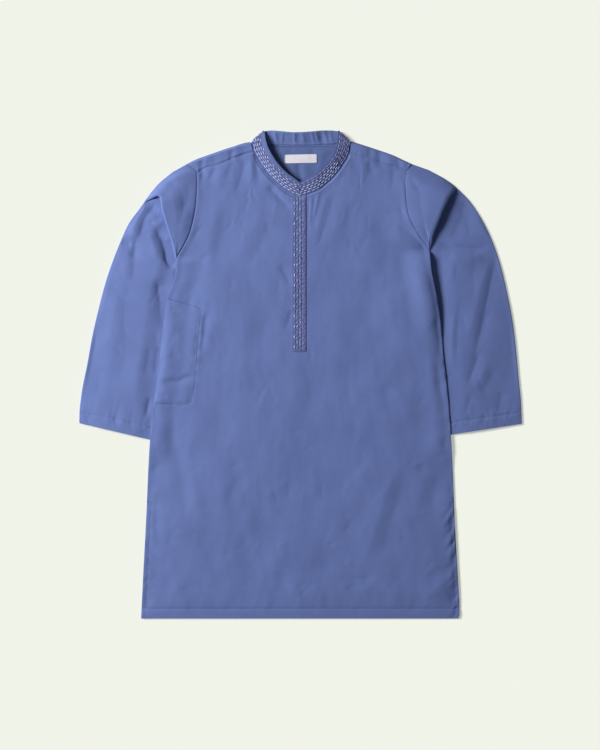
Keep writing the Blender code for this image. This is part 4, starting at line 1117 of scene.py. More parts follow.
def weave_group():
    """Plain weave: two crossed thread waves, slubs drawn out along each thread, and slow patches of colour.

    Thread is the pitch in metres, Slub and Patch are how far slubs and patches change the colour.
    """
    group = bpy.data.node_groups.new("plain_weave", "ShaderNodeTree")
    number = "NodeSocketFloat"
    for name, kind, value in (
        ("Colour", "NodeSocketColor", (0.5, 0.5, 0.5, 1)), ("Thread", number, 0.0004), ("Slub", number, 0.1),
        ("Patch", number, 0.05), ("Roughness", number, 0.8),
    ):
        group.interface.new_socket(name, in_out="INPUT", socket_type=kind).default_value = value
    for name, kind in (("Colour", "NodeSocketColor"), ("Roughness", number), ("Height", number)):
        group.interface.new_socket(name, in_out="OUTPUT", socket_type=kind)
    given = node(group, "NodeGroupInput", (-1200, 0))
    cut = node(group, "ShaderNodeUVMap", (-1200, -300), uv_map="cut").outputs[0]
    split = node(group, "ShaderNodeSeparateXYZ", (-1000, -300), {0: cut})
    turns = maths(group, "DIVIDE", 2 * np.pi, given.outputs["Thread"], (-1000, -500))
    waves = (maths(group, "MULTIPLY", split.outputs[k], turns) for k in (0, 1))
    warp, weft = (maths(group, "SINE", wave, 0.0) for wave in waves)
    threads = maths(group, "MULTIPLY", warp, weft, (-400, -300))
    slubs = []
    for stretch in ((SLUB_ACROSS, SLUB_ALONG, 1), (SLUB_ALONG, SLUB_ACROSS, 1)):
        pulled = node(group, "ShaderNodeMapping", (-800, -700), {"Vector": cut, "Scale": stretch})
        noisy = {"Vector": pulled.outputs[0], "Scale": 1.0, "Detail": 2.0, "Roughness": 0.6}
        texture = node(group, "ShaderNodeTexNoise", (-600, -700), noisy)
        slubs.append(maths(group, "SUBTRACT", texture.outputs[0], 0.5))
    slub = maths(group, "ADD", *slubs, (-200, -700))
    noisy = {"Vector": cut, "Scale": PATCHES_PER_METRE, "Detail": 3.0}
    patch = node(group, "ShaderNodeTexNoise", (-600, -1000), noisy)
    patch = maths(group, "SUBTRACT", patch.outputs[0], 0.5, (-400, -1000))
    change = maths(group, "MULTIPLY", slub, given.outputs["Slub"], (0, -600))
    change = maths(group, "ADD", change, maths(group, "MULTIPLY", patch, given.outputs["Patch"]), (100, -700))
    change = maths(group, "ADD", change, maths(group, "MULTIPLY", threads, THREAD_SHADE), (200, -700))
    gain = maths(group, "ADD", change, 1.0, (300, -600))
    shade = node(group, "ShaderNodeVectorMath", (400, 0), {0: given.outputs["Colour"], 1: gain},
                 operation="MULTIPLY")
    rough = maths(group, "MULTIPLY", slub, SLUB_ROUGHNESS)
    rough = maths(group, "ADD", rough, given.outputs["Roughness"], (400, -300))
    height = maths(group, "ADD", maths(group, "MULTIPLY", threads, THREAD_HEIGHT), slub, (400, -500))
    shown = {"Colour": shade.outputs[0], "Roughness": rough, "Height": height}
    node(group, "NodeGroupOutput", (700, 0), shown)
    return group


def woven(name, colour, reverse, roughness, depth, sheen, sheen_tint=(1.0, 1.0, 1.0), **weave_values):
    """A woven finish: the weave group feeds the colour, roughness and bump of one cloth shader with sheen.

    Where a piece's inner face is set apart, its colour is the third argument, a painted inner colour: painted
    shade on the yoke's inside, painted light on the collar's inside.
    """
    made, tree, shader = cloth_shader(name, roughness, Specular_IOR_Level=0.25, Sheen_Weight=sheen,
                                      Sheen_Roughness=0.45, Sheen_Tint=(*sheen_tint, 1))
    # Inner faces that are set apart take the painted inner colour: painted shade on the yoke, painted light
    # on the collar.
    marked = node(tree, "ShaderNodeAttribute", (-1000, 0), attribute_name="reverse").outputs["Fac"]
    change = [there - here for here, there in zip(colour, reverse)]
    shade = node(tree, "ShaderNodeVectorMath", (-750, 0), {0: change, 1: marked, 2: colour},
                 operation="MULTIPLY_ADD")
    weave = node(tree, "ShaderNodeGroup", (-500, 0), node_tree=WEAVE)
    tree.links.new(shade.outputs[0], weave.inputs["Colour"])
    for key, value in (*weave_values.items(), ("Roughness", roughness)):
        weave.inputs[key].default_value = value
    bump = node(tree, "ShaderNodeBump", (-250, -300),
                {"Height": weave.outputs["Height"], "Distance": depth, "Strength": 1.0})
    tree.links.new(weave.outputs["Colour"], shader.inputs["Base Color"])
    tree.links.new(weave.outputs["Roughness"], shader.inputs["Roughness"])
    tree.links.new(bump.outputs[0], shader.inputs["Normal"])
    return made


def thread(name, colour, roughness):
    """A sewing or embroidery thread: fine slanting plies in colour and bump along the stitch."""
    made, tree, shader = cloth_shader(name, roughness, Sheen_Weight=0.2)
    cut = node(tree, "ShaderNodeUVMap", (-1100, 0), uv_map="cut").outputs[0]
    split = node(tree, "ShaderNodeSeparateXYZ", (-900, 0), {0: cut})
    slant = maths(tree, "ADD", split.outputs[0], split.outputs[1], (-700, 0))
    plies = maths(tree, "SINE", maths(tree, "MULTIPLY", slant, 2 * np.pi / PLY_PITCH), 0.0, (-500, 0))
    position = node(tree, "ShaderNodeTexCoord", (-900, -300)).outputs["Object"]
    noisy = {"Vector": position, "Scale": 260.0, "Detail": 2.0}
    patch = node(tree, "ShaderNodeTexNoise", (-700, -300), noisy)
    change = maths(tree, "MULTIPLY_ADD", plies, PLY_SHADE, (-300, 0), third=1.0)
    change = maths(tree, "MULTIPLY", change, maths(tree, "ADD", patch.outputs[0], 0.5), (-200, 0))
    shade = node(tree, "ShaderNodeVectorMath", (-100, 0), {0: colour, 1: change}, operation="MULTIPLY")
    bump = node(tree, "ShaderNodeBump", (-100, -300),
                {"Height": plies, "Distance": PLY_DEPTH, "Strength": 1.0})
    tree.links.new(shade.outputs[0], shader.inputs["Base Color"])
    tree.links.new(bump.outputs[0], shader.inputs["Normal"])
    return made


# --- pieces -------------------------------------------------------------------------------------------


def columns_at(insets, centre, y_right, y_left):
    """x of every column: insets from each side edge, shares of the way to the neck, then fixed columns."""
    start_right = -edge_x(SIDES["right"], y_right)[:, None] + insets[:, 0]
    start_left = edge_x(SIDES["left"], y_left)[:, None] - insets[:, 0]
    right_part = mix(start_right, NECK_RIGHT_X, insets[:, 1])
    left_part = mix(start_left, NECK_LEFT_X, insets[:, 1])
    middle = np.broadcast_to(centre, (len(y_right), len(centre)))
    return np.concatenate([right_part, middle, left_part[:, ::-1]], axis=1)


def panel_grid(insets, centre, lower, fan, top_line, top_share):
    """x and y of a body panel: level rows up to the underarms, then rows that fan out to the top line.

    The last rows go on past the top line by TUCK, to lie under the next piece.
    """
    right, left = SIDES["right"], SIDES["left"]
    under_right, under_left = right["armhole"][0][0], left["armhole"][0][0]
    out_right, out_left = edge_x(right, under_right), edge_x(left, under_left)

    def underarm_line(x):
        return mix(under_right, under_left, np.clip((x + out_right) / (out_right + out_left), 0, 1))

    x_low = columns_at(insets, centre, lower, lower)
    y_low = np.repeat(lower[:, None], x_low.shape[1], axis=1)
    step = np.linspace(0, 1, fan[0] + 1)[1:]
    x_mid = columns_at(insets, centre, mix(lower[-1], under_right, step), mix(lower[-1], under_left, step))
    y_mid = mix(lower[-1], underarm_line(x_mid), step[:, None])
    part = np.linspace(0, 1, fan[1] + 1)[1:]
    y_right, y_left = (armhole_y(side, mix(1, top_share, part)) for side in (right, left))
    x_top = columns_at(insets, centre, y_right, y_left)
    y_top = mix(underarm_line(x_top), top_line(x_top), part[:, None])
    y_top[:, 0], y_top[:, -1] = y_right, y_left
    x_tuck, y_tuck = np.repeat(x_top[-1:], len(TUCK), axis=0), y_top[-1:] + TUCK[:, None]
    return np.concatenate([x_low, x_mid, x_top, x_tuck]), np.concatenate([y_low, y_mid, y_top, y_tuck])


def front_top(x):
    """y of the front's top edge: yoke seam, neckline, yoke seam."""
    sides = np.where(x < NECK_RIGHT_X, through(YOKE_SEAM_RIGHT, x), through(YOKE_SEAM_LEFT, x))
    return np.where((x < NECK_RIGHT_X) | (x > NECK_LEFT_X), sides, through(NECKLINE, x))


def back_top(x):
    """y of the back's top edge."""
    return through(YOKE_SEAM_BACK, x)


def side_columns(near, far):
    """Insets that widen away from the side edge over its first part, then shares of the way to the neck."""
    first = np.column_stack([SIDE_STRIP * np.linspace(0, 1, near) ** 1.45, np.zeros(near)])
    rest = np.column_stack([np.full(far, SIDE_STRIP), np.linspace(0, 1, far + 2)[1:-1]])
    return np.concatenate([first, rest])


def hem_rows(end, pitch):
    """Rows from the hem up: close together across the turned hem and its stitching, then evenly spaced."""
    close = HEM_Y + np.array([0, 1.2, 4, 8, 12, 16, 18.6, 20, 21, 22, 23.6, 26.4, 30])
    return np.concatenate([close, np.linspace(close[-1], end, int((end - close[-1]) / pitch) + 1)[1:]])


def declare(piece, area, width, length):
    """Takes the smaller of the outer area and the cut's size in square metres, and keeps neither."""
    min(area, width * length)


def make_panel(name, height, columns, pitch, fan, centre, top_line, top_share, drop, flip=False):
    """A body panel: z = height over its grid, thicker at the hem, its top edge tucked away by drop."""
    lower = hem_rows(PLACKET_END_Y, pitch)
    x, y = panel_grid(side_columns(*columns), centre, lower, fan, top_line, top_share)
    z = height(x, y)
    z[-len(TUCK):] = z[-len(TUCK) - 1] - drop * TUCK[:, None]
    outer = grid_of(x, y, z)
    thick = np.where(y < HEM_Y + HEM_DEPTH + 1, TURN_UP, CLOTH)[..., None]
    return cloth(name, outer, outer - thick * normals_of(outer) * (-1 if flip else 1), "cotton", flip=flip)


def make_front():
    """The front: z = front_z, its top edge tucked under the yoke and the collar."""
    fine = (-24, 58)
    centre = np.concatenate([np.linspace(NECK_RIGHT_X, fine[0], 26)[:-1], np.linspace(*fine, 37)[:-1],
                             np.linspace(fine[1], NECK_LEFT_X, 14)])
    return make_panel("front_panel", front_z, (22, 32), 3.7, (50, 50), centre, front_top, YOKE_FRONT_SHARE,
                      0.35)


def make_back():
    """The back: z = back_z, its top edge tucked inside the yoke."""
    centre = np.linspace(NECK_RIGHT_X, NECK_LEFT_X, 30)
    return make_panel("back_panel", back_z, (14, 18), 6.0, (30, 22), centre, back_top, YOKE_BACK_SHARE, -0.3,
                      flip=True)


def placket_z(x, y):
    """The placket lies on the front and rounds down to it at its edges and its lower end."""
    inset = np.minimum(np.minimum(x - PLACKET_RIGHT_X, PLACKET_LEFT_X - x), y - PLACKET_END_Y)
    rise = PLACKET_EDGE_RISE + PLACKET_RISE * roll(inset / PLACKET_ROUND)
    ribs = PLACKET_RIB * np.cos(2 * np.pi * (x - PLACKET_RIGHT_X) / ROW_PITCH)
    ripple = 0.22 * noise(3 * x, y, 9, 41) + 0.3 * noise(1.6 * x, y, 26, 42)
    return front_z(x, y) + rise + (ribs + ripple) * smooth(inset / EDGE_FADE)


def make_placket():
    """The placket strip: z = placket_z over a grid of its own, with a slightly rounded lower end."""
    shares = np.concatenate([[0, 0.02, 0.05], np.linspace(0.09, 0.91, 22), [0.95, 0.98, 1]])
    across = mix(PLACKET_RIGHT_X, PLACKET_LEFT_X, shares)
    part = np.concatenate([[0, 0.002, 0.005, 0.009], np.linspace(0.014, 1, 160)])
    low = PLACKET_END_Y + PLACKET_CORNER * np.abs(np.linspace(-1, 1, len(across))) ** 8
    high = through(NECKLINE, across) + 2.5
    x = np.repeat(across[None], len(part), axis=0)
    y = mix(low, high, part[:, None])
    z = placket_z(x, y)
    inner = grid_of(x, y, np.maximum(front_z(x, y) + 0.12, z - BAND))
    return cloth("placket", grid_of(x, y, z), inner, "band")


def make_pocket():
    """The pocket bag: one flat layer between the front and the back, at the height of the lifted side."""
    inset = np.linspace(*POCKET_INSETS, 22)
    across = inset / inset[-1]
    y = mix(mix(*POCKET_BOTTOM, across), mix(*POCKET_TOP, across), np.linspace(0, 1, 48)[:, None])
    x = inset - edge_x(SIDES["right"], y)
    outer = grid_of(x, y, lift_at(x, y) + POCKET_LIFT + 0.25 * noise(x, y, 30, 51))
    return cloth("pocket_bag", outer, outer - CLOTH * normals_of(outer), "cotton")


def yoke_rows(share, turn, part):
    """x, y and z of the yoke's rows, and its columns inside the neck.

    Lower rows go by share of the armhole, then rows turn round the shoulder fold, and upper rows go by the
    part of the way down to the front seam.
    """
    right, left = SIDES["right"], SIDES["left"]
    way = np.concatenate([np.linspace(0, 0.06, 4)[:-1], np.linspace(0.06, 1, 30)])
    middle = np.linspace(-99.0, 100.5, 46)
    radius = FLAT_TUBE / 2

    def spread(at, neck_right, neck_left):
        y_right, y_left = armhole_y(right, at), armhole_y(left, at)
        end_right, end_left = -edge_x(right, y_right)[:, None], edge_x(left, y_left)[:, None]
        neck_right, neck_left = (np.broadcast_to(v, len(at))[:, None] for v in (neck_right, neck_left))
        centre = np.broadcast_to(middle, (len(at), len(middle)))
        x = [mix(end_right, neck_right, way), centre, mix(end_left, neck_left, way)[:, ::-1]]
        return np.concatenate(x, axis=1), y_right, y_left

    neck = slice(len(way), len(way) + len(middle))
    x1, y_right, y_left = spread(share, NECK_FOLD_RIGHT_X, NECK_FOLD_LEFT_X)
    up = 1 - share[:, None] / YOKE_BACK_SHARE
    y1 = mix(through(YOKE_SEAM_BACK, x1) + SEAM_GAP, through(SHOULDER_LINE, x1) - radius, up)
    y1[1:, 0], y1[1:, -1] = y_right[1:], y_left[1:]
    z1 = 0.15 * (1 + noise(x1, y1, 60, 61)) + creases_at(x1, y1, YOKE_FINE)
    z1 *= smooth(up * 12) * smooth(share[:, None] / 0.03)
    inside = smooth((YOKE_INSIDE_HALF - np.abs(x1)) / YOKE_INSIDE_FADE)
    inside *= smooth((YOKE_INSIDE_TOP_Y - y1) / YOKE_INSIDE_TOP_FADE)
    z1 += inside * (YOKE_INSIDE_LIFT + creases_at(x1, y1, YOKE_INSIDE_CREASES))

    x2, *_ = spread((1 - np.cos(turn)) * YOKE_FOLD_SHARE, NECK_FOLD_RIGHT_X, NECK_FOLD_LEFT_X)
    out = np.cos(turn)[:, None] * np.ones_like(x2)
    out[:, neck] = 0
    centre = through(SHOULDER_LINE, x2) - radius
    centre[:, neck] += radius
    y2, z2 = centre + radius * out, radius * (1 + np.sin(turn)[:, None] * np.ones_like(x2))

    x3, y_right, y_left = spread(part * YOKE_FRONT_SHARE, mix(NECK_FOLD_RIGHT_X, NECK_RIGHT_X, part),
                                 mix(NECK_FOLD_LEFT_X, NECK_LEFT_X, part))
    high, low = through(SHOULDER_LINE, x3) - radius, front_top(x3) - 0.6
    y3 = mix(high, low, part[:, None])
    y3[:, 0], y3[:, -1] = y_right, y_left
    from_seam = (1 - part[:, None]) * (high - low)
    tapered = smooth((x3 - x3[:, :1]) / SEAM_TAPER) * smooth((x3[:, -1:] - x3) / SEAM_TAPER)
    crown = tapered * (0.3 + np.where(x3 < 0, YOKE_CROWN["right"], YOKE_CROWN["left"]) * (1 - part[:, None]))
    z3 = mix(FLAT_TUBE, front_z(x3, low - 4) + crown, roll(8.0 * part)[:, None])
    z3 += puckers(from_seam, x3, "yoke") * smooth(from_seam / YOKE_FURROW_AT)
    z3 += furrow(from_seam - YOKE_FURROW_AT, (0.4, 3)) + furrow(from_seam - YOKE_EDGE_FURROW_AT, (-0.3, 1.2))
    z3 += creases_at(x3, y3, YOKE_CREASES)
    return np.concatenate([x1, x2, x3]), np.concatenate([y1, y2, y3]), np.concatenate([z1, z2, z3]), neck


def make_yoke():
    """The yoke: rows from the back seam up, round the shoulder folds, and down to the front seam."""
    x, y, z, neck = yoke_rows(YOKE_BACK_ROWS, YOKE_TURN, np.linspace(0.13, 1, 14))
    outer = grid_of(x, y, z)
    keep = np.ones((outer.shape[0] - 1, outer.shape[1] - 1), bool)
    keep[len(YOKE_BACK_ROWS):, neck.start - 1:neck.stop] = False
    inner = outer + CLOTH * normals_of(outer)
    # Its inner face, seen inside the neck, is painted darker: painted shade.
    return cloth("yoke", outer, inner, "cotton", flip=True, keep=keep, reverse=True)


def collar_lines(along_front, along_back):
    """The collar's neck seam and top edge: up the right front, round the fold, along the back, and down."""
    def front_seam(neckline, side, inward):
        points = np.array([(x, y, 0) for x, y in neckline], float)
        points[:, 2] = front_z(points[:, 0], points[:, 1] - 3) + 0.2
        along = np.gradient(points[:, :2], axis=0)
        away = 2 * SEAM_GAP * inward * along / np.hypot(*along.T)[:, None]
        points[:, 0] -= away[:, 1]
        points[:, 1] += away[:, 0]
        return np.concatenate([points, np.array(side)])

    def fold(upper, lower, outward):
        turn = np.radians(np.linspace(0, 180, 12)[1:-1])[:, None]
        middle, half = (upper + lower) / 2, (upper - lower) / 2
        return middle + half * np.cos(turn) + COLLAR_FOLD * np.array(outward) * np.sin(turn)

    middle = [x for x, _ in NECKLINE].index(CENTRE_X)
    up, across = np.linspace(0, 1, along_front), np.linspace(0, 1, along_back)
    seam_right = by_share(front_seam(NECKLINE[middle::-1], COLLAR_SIDE_RIGHT, -1), up)
    seam_left = by_share(front_seam(NECKLINE[middle:], COLLAR_SIDE_LEFT, 1), up)
    seam_right[0, 0], seam_left[0, 0] = CENTRE_X - SEAM_GAP, CENTRE_X + SEAM_GAP
    back_x = mix(seam_right[-1, 0], seam_left[-1, 0], across)
    seam_back = grid_of(back_x, through(SHOULDER_LINE, back_x) + 2 * SEAM_GAP,
                        through(COLLAR_SEAM_BACK_HEIGHT, np.abs(back_x)))
    seam_back[0, :2], seam_back[-1, :2] = seam_right[-1, :2], seam_left[-1, :2]
    top_right, top_left = by_share(COLLAR_TOP_RIGHT, up), by_share(COLLAR_TOP_LEFT, up)
    top_back = by_share(COLLAR_TOP_BACK, across)

    def ring(right, back, left):
        return np.concatenate([
            right, fold(right[-1], back[0], (-0.74, 0.67, 0)), back,
            fold(left[-1], back[-1], (0.74, 0.67, 0))[::-1], left[::-1],
        ])

    return ring(seam_right, seam_back, seam_left), ring(top_right, top_back, top_left)


def collar_grid(steps, along_front=90, along_back=76):
    """Points of the collar's outer face: straight from seam to top edge, with a slight belly and waves."""
    seam, top = collar_lines(along_front, along_back)
    steps = np.asarray(steps, float)[None, :, None]
    grid = mix(seam[:, None], top[:, None], steps)
    facing = np.cross(np.gradient(grid, axis=1), np.gradient(grid, axis=0))
    facing /= np.linalg.norm(facing, axis=-1, keepdims=True)
    x, y, steps = grid[..., 0], grid[..., 1], steps[..., 0]
    back = smooth((y - COLLAR_BACK_FROM) / 12)
    belly = mix(*COLLAR_BELLY, smooth(-x / 20)) * np.sin(np.pi * steps) * (1 - 0.6 * back)
    waves = mix(0.25, 1.15, back) * noise(x, 0.7 * y, 21, 71) + 0.35 * back * noise(x, y, 11, 72)
    for place, wide, high, slant in COLLAR_CREASES:
        waves += back * high * crease_bell(x - place + slant * (y - 484), wide)
    waves = waves * np.sin(np.pi * np.clip(0.12 + 0.76 * steps, 0, 1))
    return grid + (belly + waves)[..., None] * facing, facing


def make_collar():
    """The collar band, doubled cloth: its wall narrows to a rounded top edge, and its back laps the yoke."""
    outer, facing = collar_grid(COLLAR_STEPS)
    wall = BAND * mix(COLLAR_TOP_WALL, 1, roll((1 - COLLAR_STEPS) / 0.1))
    wall = wall * mix(COLLAR_FOOT_WALL, 1, roll(COLLAR_STEPS / 0.05))
    inner = outer - wall[None, :, None] * facing
    behind = smooth((outer[:, 0, 1] - COLLAR_BACK_Y) / COLLAR_BACK_FADE)[:, None]
    away = outer[:, 0, :2] - outer[:, 6, :2]
    away /= np.linalg.norm(away, axis=-1, keepdims=True)
    for step, lap, lift in COLLAR_LAP:
        inner[:, step, :2] += lap * behind * away
        inner[:, step, 2] = np.where(behind[:, 0] > 0.5, outer[:, 0, 2] + lift, inner[:, step, 2])
    for face in (outer, inner):
        face[..., 2] = np.maximum(face[..., 2], 0.0)
    along = np.concatenate([[0], np.cumsum(np.linalg.norm(np.diff(outer[:, 0], axis=0), axis=-1))])
    uv = np.stack(np.broadcast_arrays(along[:, None], COLLAR_WIDE * COLLAR_STEPS[None]), axis=-1)
    # Its inner face takes the body cotton's lighter colour: painted light on the band's shaded inside.
    return cloth("collar", outer, inner, "band", uv=uv, reverse=True)


def make_label():
    """The neck label: a blank woven tape, folded under at its ends, that follows the yoke inside the neck."""
    x, y = np.meshgrid(np.linspace(*LABEL_X, 40), np.linspace(*LABEL_Y, 14))
    across, up = (x - x.min()) / np.ptp(x), (y - y.min()) / np.ptp(y)
    narrowed = 1 - LABEL_NARROWING * np.abs(2 * across - 1) ** LABEL_NARROW_POWER
    y = y.mean() + (y - y.mean()) * narrowed + LABEL_SLANT * (x - x.mean())
    belly = LABEL_BELLY * np.sin(np.pi * across) * np.sin(np.pi * up)
    outer = grid_of(x, y, LABEL_Z + TAPE_RISE + belly + LABEL_RIPPLE * noise(x, y, 12, 81))
    return cloth("label", outer, outer - TAPE * normals_of(outer), "tape")


def fold_line(name, shares):
    """The line of the top of a cap's fold, and its level unit vectors away from the armhole."""
    fine = np.linspace(0, 1, 161)
    line = by_share(CAP_FOLD[name], fine)
    along = np.gradient(line, axis=0)
    away = np.stack([-along[:, 1], along[:, 0]], axis=-1) / np.hypot(*along.T)[:, None]
    both = np.column_stack([line, away])
    return np.split(np.stack([np.interp(shares, fine, column) for column in both.T], axis=-1), 2, axis=-1)


def sleeve_rings(name, stations, shares):
    """Plan and height of a sleeve's upper face, rings x shares, before its edges are rounded.

    Ring stations run down the sleeve, through one line across it per section; below 0 they blend back to the
    armhole, at -1. Between stations 2 and 3 the cap's fold turns under: its plan rolls out and back while its
    height falls.
    """
    side = SIDES[name]
    sign, sections = side["sign"], SLEEVES[name]
    y = armhole_y(side, shares)
    armhole = np.stack([edge_x(side, y) - CAP_LAP[name], y], axis=-1)

    lines, rises = [], []
    for number, (outer_x, outer_y, inner_x, inner_y, bow, crest) in enumerate(sections):
        x = mix(outer_x, inner_x, shares) + bow * BOW_SHAPE * shares * (1 - shares) ** 2
        if number > 3:
            x = x + through(UNDERARM_SWING, number) * SWING_SHAPE * shares**8 * (1 - shares)
        lines.append(np.stack([x, mix(outer_y, inner_y, shares)], axis=-1))
        width = np.hypot(outer_x - inner_x, outer_y - inner_y)
        outer_slope = smooth(shares * width / SLEEVE_OUTER_SLOPE[name][number])
        inner_slope = smooth(((1 - shares) * width - SLEEVE_INNER_FLAT) / SLEEVE_INNER_SLOPE)
        rises.append(outer_slope * inner_slope * (crest - FLAT_TUBE))
    top_line, away = fold_line(name, shares)
    first, last = np.asarray(CAP_FOOT[name], float)
    start, end = 1 - smooth(shares * CAP_START_FADE), 1 - smooth((1 - shares) * CAP_END_FADE)
    roll_out = CAP_ROLL[name] * (1 - start) * (1 - end)
    shift = start[:, None] * first + end[:, None] * last
    corner = lines[1][:1] - (lines[0][:1] + top_line[:1]) / 2
    lines[1] = (lines[0] + top_line) / 2 + corner * ((1 - shares) ** 3)[:, None]
    lines[2] = top_line
    lines[3] = top_line + FOOT_ROLL * roll_out[:, None] * away + shift
    rises[2] = through(CAP_HEIGHT[name], shares) - FLAT_TUBE
    middle = np.sin(np.pi * np.clip((shares - 0.2) / 0.72, 0, 1))
    for number, high in enumerate(FOOT_RAISE[name], 3):
        rises[number] = rises[number] + high * middle
    meet = smooth((shares - CAP_MEETS) / CAP_MEET_RUN)
    rises[0] = mix(rises[0], rises[2], meet)
    rises[1] = mix(rises[0], rises[2], 0.6) + CAP_CROWN[name] * (1 - start) * (1 - meet)

    down = np.maximum(stations, 0)
    number = np.arange(len(sections))[:, None]
    plan = through(np.column_stack([number, np.reshape(lines, (len(sections), -1))]), down)
    plan = plan.reshape(len(down), len(shares), 2)
    rise = through(np.column_stack([number, np.stack(rises)]), down)
    turning = ((down > 2) & (down < 3))[:, None]
    way = np.clip(down - 2, 0, 1)[:, None]
    bend = through(PLEAT_TURN, way[:, 0])
    turned = top_line + (bend[:, :1] * roll_out)[..., None] * away + way[..., None] * shift
    plan = np.where(turning[..., None], turned, plan)
    rise = np.where(turning, mix(rises[3], rises[2], bend[:, 1:]), rise)

    blend = np.clip(-stations, 0, 1)[:, None]
    plan = mix(plan, armhole, blend[..., None])
    width = np.hypot(*np.moveaxis(plan[:, -1] - plan[:, 0], -1, 0))[:, None]
    rise = mix(rise, through(ARMHOLE_HEIGHT[name], shares) - FLAT_TUBE - 0.1, blend**1.5)
    from_armhole = np.linalg.norm(plan - armhole, axis=-1)
    rise = rise - CAP_TUCK[name] * (stations < 0)[:, None] * bell(from_armhole, 1.7)
    x, y = sign * plan[..., 0], plan[..., 1]
    count, down = len(sections) - 1, down[:, None]
    detail = crumple(x, y, SLEEVE_CRUMPLE)
    detail = detail * mix(0.3, 1, smooth((count - down) / 1.5)) * smooth(down * 1.2 + 0.2)
    detail += mix(creases_at(x, y, CAP_CREASES[name]), creases_at(x, y, SLEEVE_CREASES[name]), way)
    detail += creases_at(x, y, SLEEVE_FINE[name])
    ring_pitch = np.hypot(*np.subtract(sections[-1][:2], sections[-2][:2]))
    from_stitch = (count - CUFF_STITCH[name] - down) * ring_pitch
    detail = detail + puckers(np.abs(from_stitch), shares * width, "cuff") + furrow(from_stitch, CUFF_DIP)
    edges = smooth(shares * width / SLEEVE_EDGE) * smooth((1 - shares) * width / SLEEVE_EDGE)
    pleat_calm = 1 - 0.85 * (turning & (roll_out > 1)) * (1 - way)
    height = FLAT_TUBE + rise + edges * detail * pleat_calm * (1 - blend)
    low = SLEEVE_LEAST + SLEEVE_EASE
    eased = SLEEVE_LEAST + SLEEVE_EASE * np.exp(np.minimum(height - low, 0) / SLEEVE_EASE)
    return sign, plan, np.where(height < low, eased, height)


def make_sleeve(name):
    """A sleeve laid flat: closed rings from armhole to cuff, with rounded edges and a creased underside."""
    count = len(SLEEVES[name]) - 1
    stations = np.concatenate([
        CAP_STATIONS, np.linspace(0, 2, 17)[:-1], np.linspace(2, 3, 13)[:-1], np.linspace(3, count, 182)])
    shares = np.linspace(0.014, 0.986, 96)
    sign, plan, top = sleeve_rings(name, stations, shares)
    ends = sleeve_rings(name, stations, np.array([0.0, 1.0]))[1]
    x_low, y_low = sign * plan[..., 0], plan[..., 1]
    bottom = 0.25 * (1 + noise(x_low, y_low, 60, 101)) + creases_at(x_low, y_low, SLEEVE_UNDER_FINE[name])
    bottom = bottom * smooth(shares * 20) * smooth((1 - shares) * 20)
    radius = FLAT_TUBE / 2
    turn = np.radians(np.linspace(0, 90, 6))

    def arc(end, turns):
        edge, far = ends[:, end], ends[:, 1 - end]
        along = np.gradient(edge, axis=0)
        inward = np.stack([-along[:, 1], along[:, 0]], axis=-1)
        inward = inward / np.maximum(np.hypot(*along.T), 1e-6)[:, None]
        inward = inward * np.sign(np.sum(inward * (far - edge), axis=-1))[:, None]
        flat = edge[:, None] + (radius * (1 - np.cos(turns)))[None, :, None] * inward[:, None]
        height = np.broadcast_to(radius * (1 + np.sin(turns)), flat.shape[:2])
        return np.concatenate([flat, height[..., None]], axis=-1)

    def face(height, order):
        return np.concatenate([plan, height[..., None]], axis=-1)[:, ::order]

    ring = np.concatenate([
        arc(0, turn[:-1]), face(top, 1), arc(1, turn[:0:-1]), arc(1, -turn[:-1]), face(bottom, -1),
        arc(0, -turn[:0:-1]),
    ], axis=1)
    hem = stations > count - CUFF_STITCH[name]
    ring[hem, :, 2] = mix(radius, ring[hem, :, 2], CUFF_THICKER)
    # The first ring is drawn back under the body's edge, its upper half lower and its lower half higher
    drawn_in = np.clip((-stations - 0.9) / 0.1, 0, 1)[:, None]
    toward = ring[0, :, :2] - ring[10, :, :2]
    toward /= np.maximum(np.linalg.norm(toward, axis=-1, keepdims=True), 1e-6)
    ring[..., :2] += CAP_UNDERLAP * drawn_in[..., None] * toward
    ring[..., 2] -= 0.5 * drawn_in * (ring[..., 2] > radius)
    ring[..., 2] += 0.7 * drawn_in * (ring[..., 2] <= radius)
    ring[..., 0] *= sign
    along = np.cumsum(np.linalg.norm(np.diff(ring[:, :1], axis=0, prepend=ring[:1, :1]), axis=-1), axis=0)
    wrapped = np.concatenate([ring, ring[:, :1]], axis=1)
    around = np.cumsum(np.linalg.norm(np.diff(wrapped, axis=1, prepend=wrapped[:, :1]), axis=-1), axis=1)
    uv = np.stack(np.broadcast_arrays(around, along), axis=-1)
    inner = ring - CLOTH * sign * normals_of(ring, closed=True)
    return cloth(f"sleeve_{name}", ring, inner, "cotton", uv=uv, flip=sign < 0, closed=True)


# --- stitching and embroidery -------------------------------------------------------------------------


def along_line(points, up, pitch, start=0.5, end=0.0):
    """Centres, directions and normals every pitch along a line of points in space, from start pitches in."""
    step = np.diff(points, axis=0)
    run = np.linalg.norm(step, axis=-1)
    covered = np.concatenate([[0], np.cumsum(run)])
    at = np.arange(start * pitch, covered[-1] - end * pitch, pitch)
    near = np.clip(np.searchsorted(covered, at) - 1, 0, len(step) - 1)

    def read(values):
        return np.stack([np.interp(at, covered, values[:, k]) for k in range(3)], axis=-1)

    return read(points), step[near] / np.maximum(run[near], 1e-6)[:, None], read(up)


def joined(*parts):
    """Several sets of centres, directions and normals as one."""
    return tuple(np.concatenate(group) for group in zip(*parts))


def mirrored_line(line, side):
    """A line given as (distance from the side edge, y), in real x, on the named side of the body."""
    inset, y = np.asarray(line, float).T
    body = SIDES[side]
    return np.stack([body["sign"] * (edge_x(body, y) - inset), y], axis=-1)


def sleeve_line(name, station, count=150, lift=0.0):
    """A line across a sleeve's upper face at one station, with its normals."""
    shares = np.linspace(0.03, 0.97, count)
    stations = station + np.array([-0.03, 0.0, 0.03])
    sign, plan, top = sleeve_rings(name, stations, shares)
    grid = np.concatenate([plan * [sign, 1], top[..., None]], axis=-1)
    up = normals_of(grid) * sign
    return grid[1] + lift * up[1], up[1]


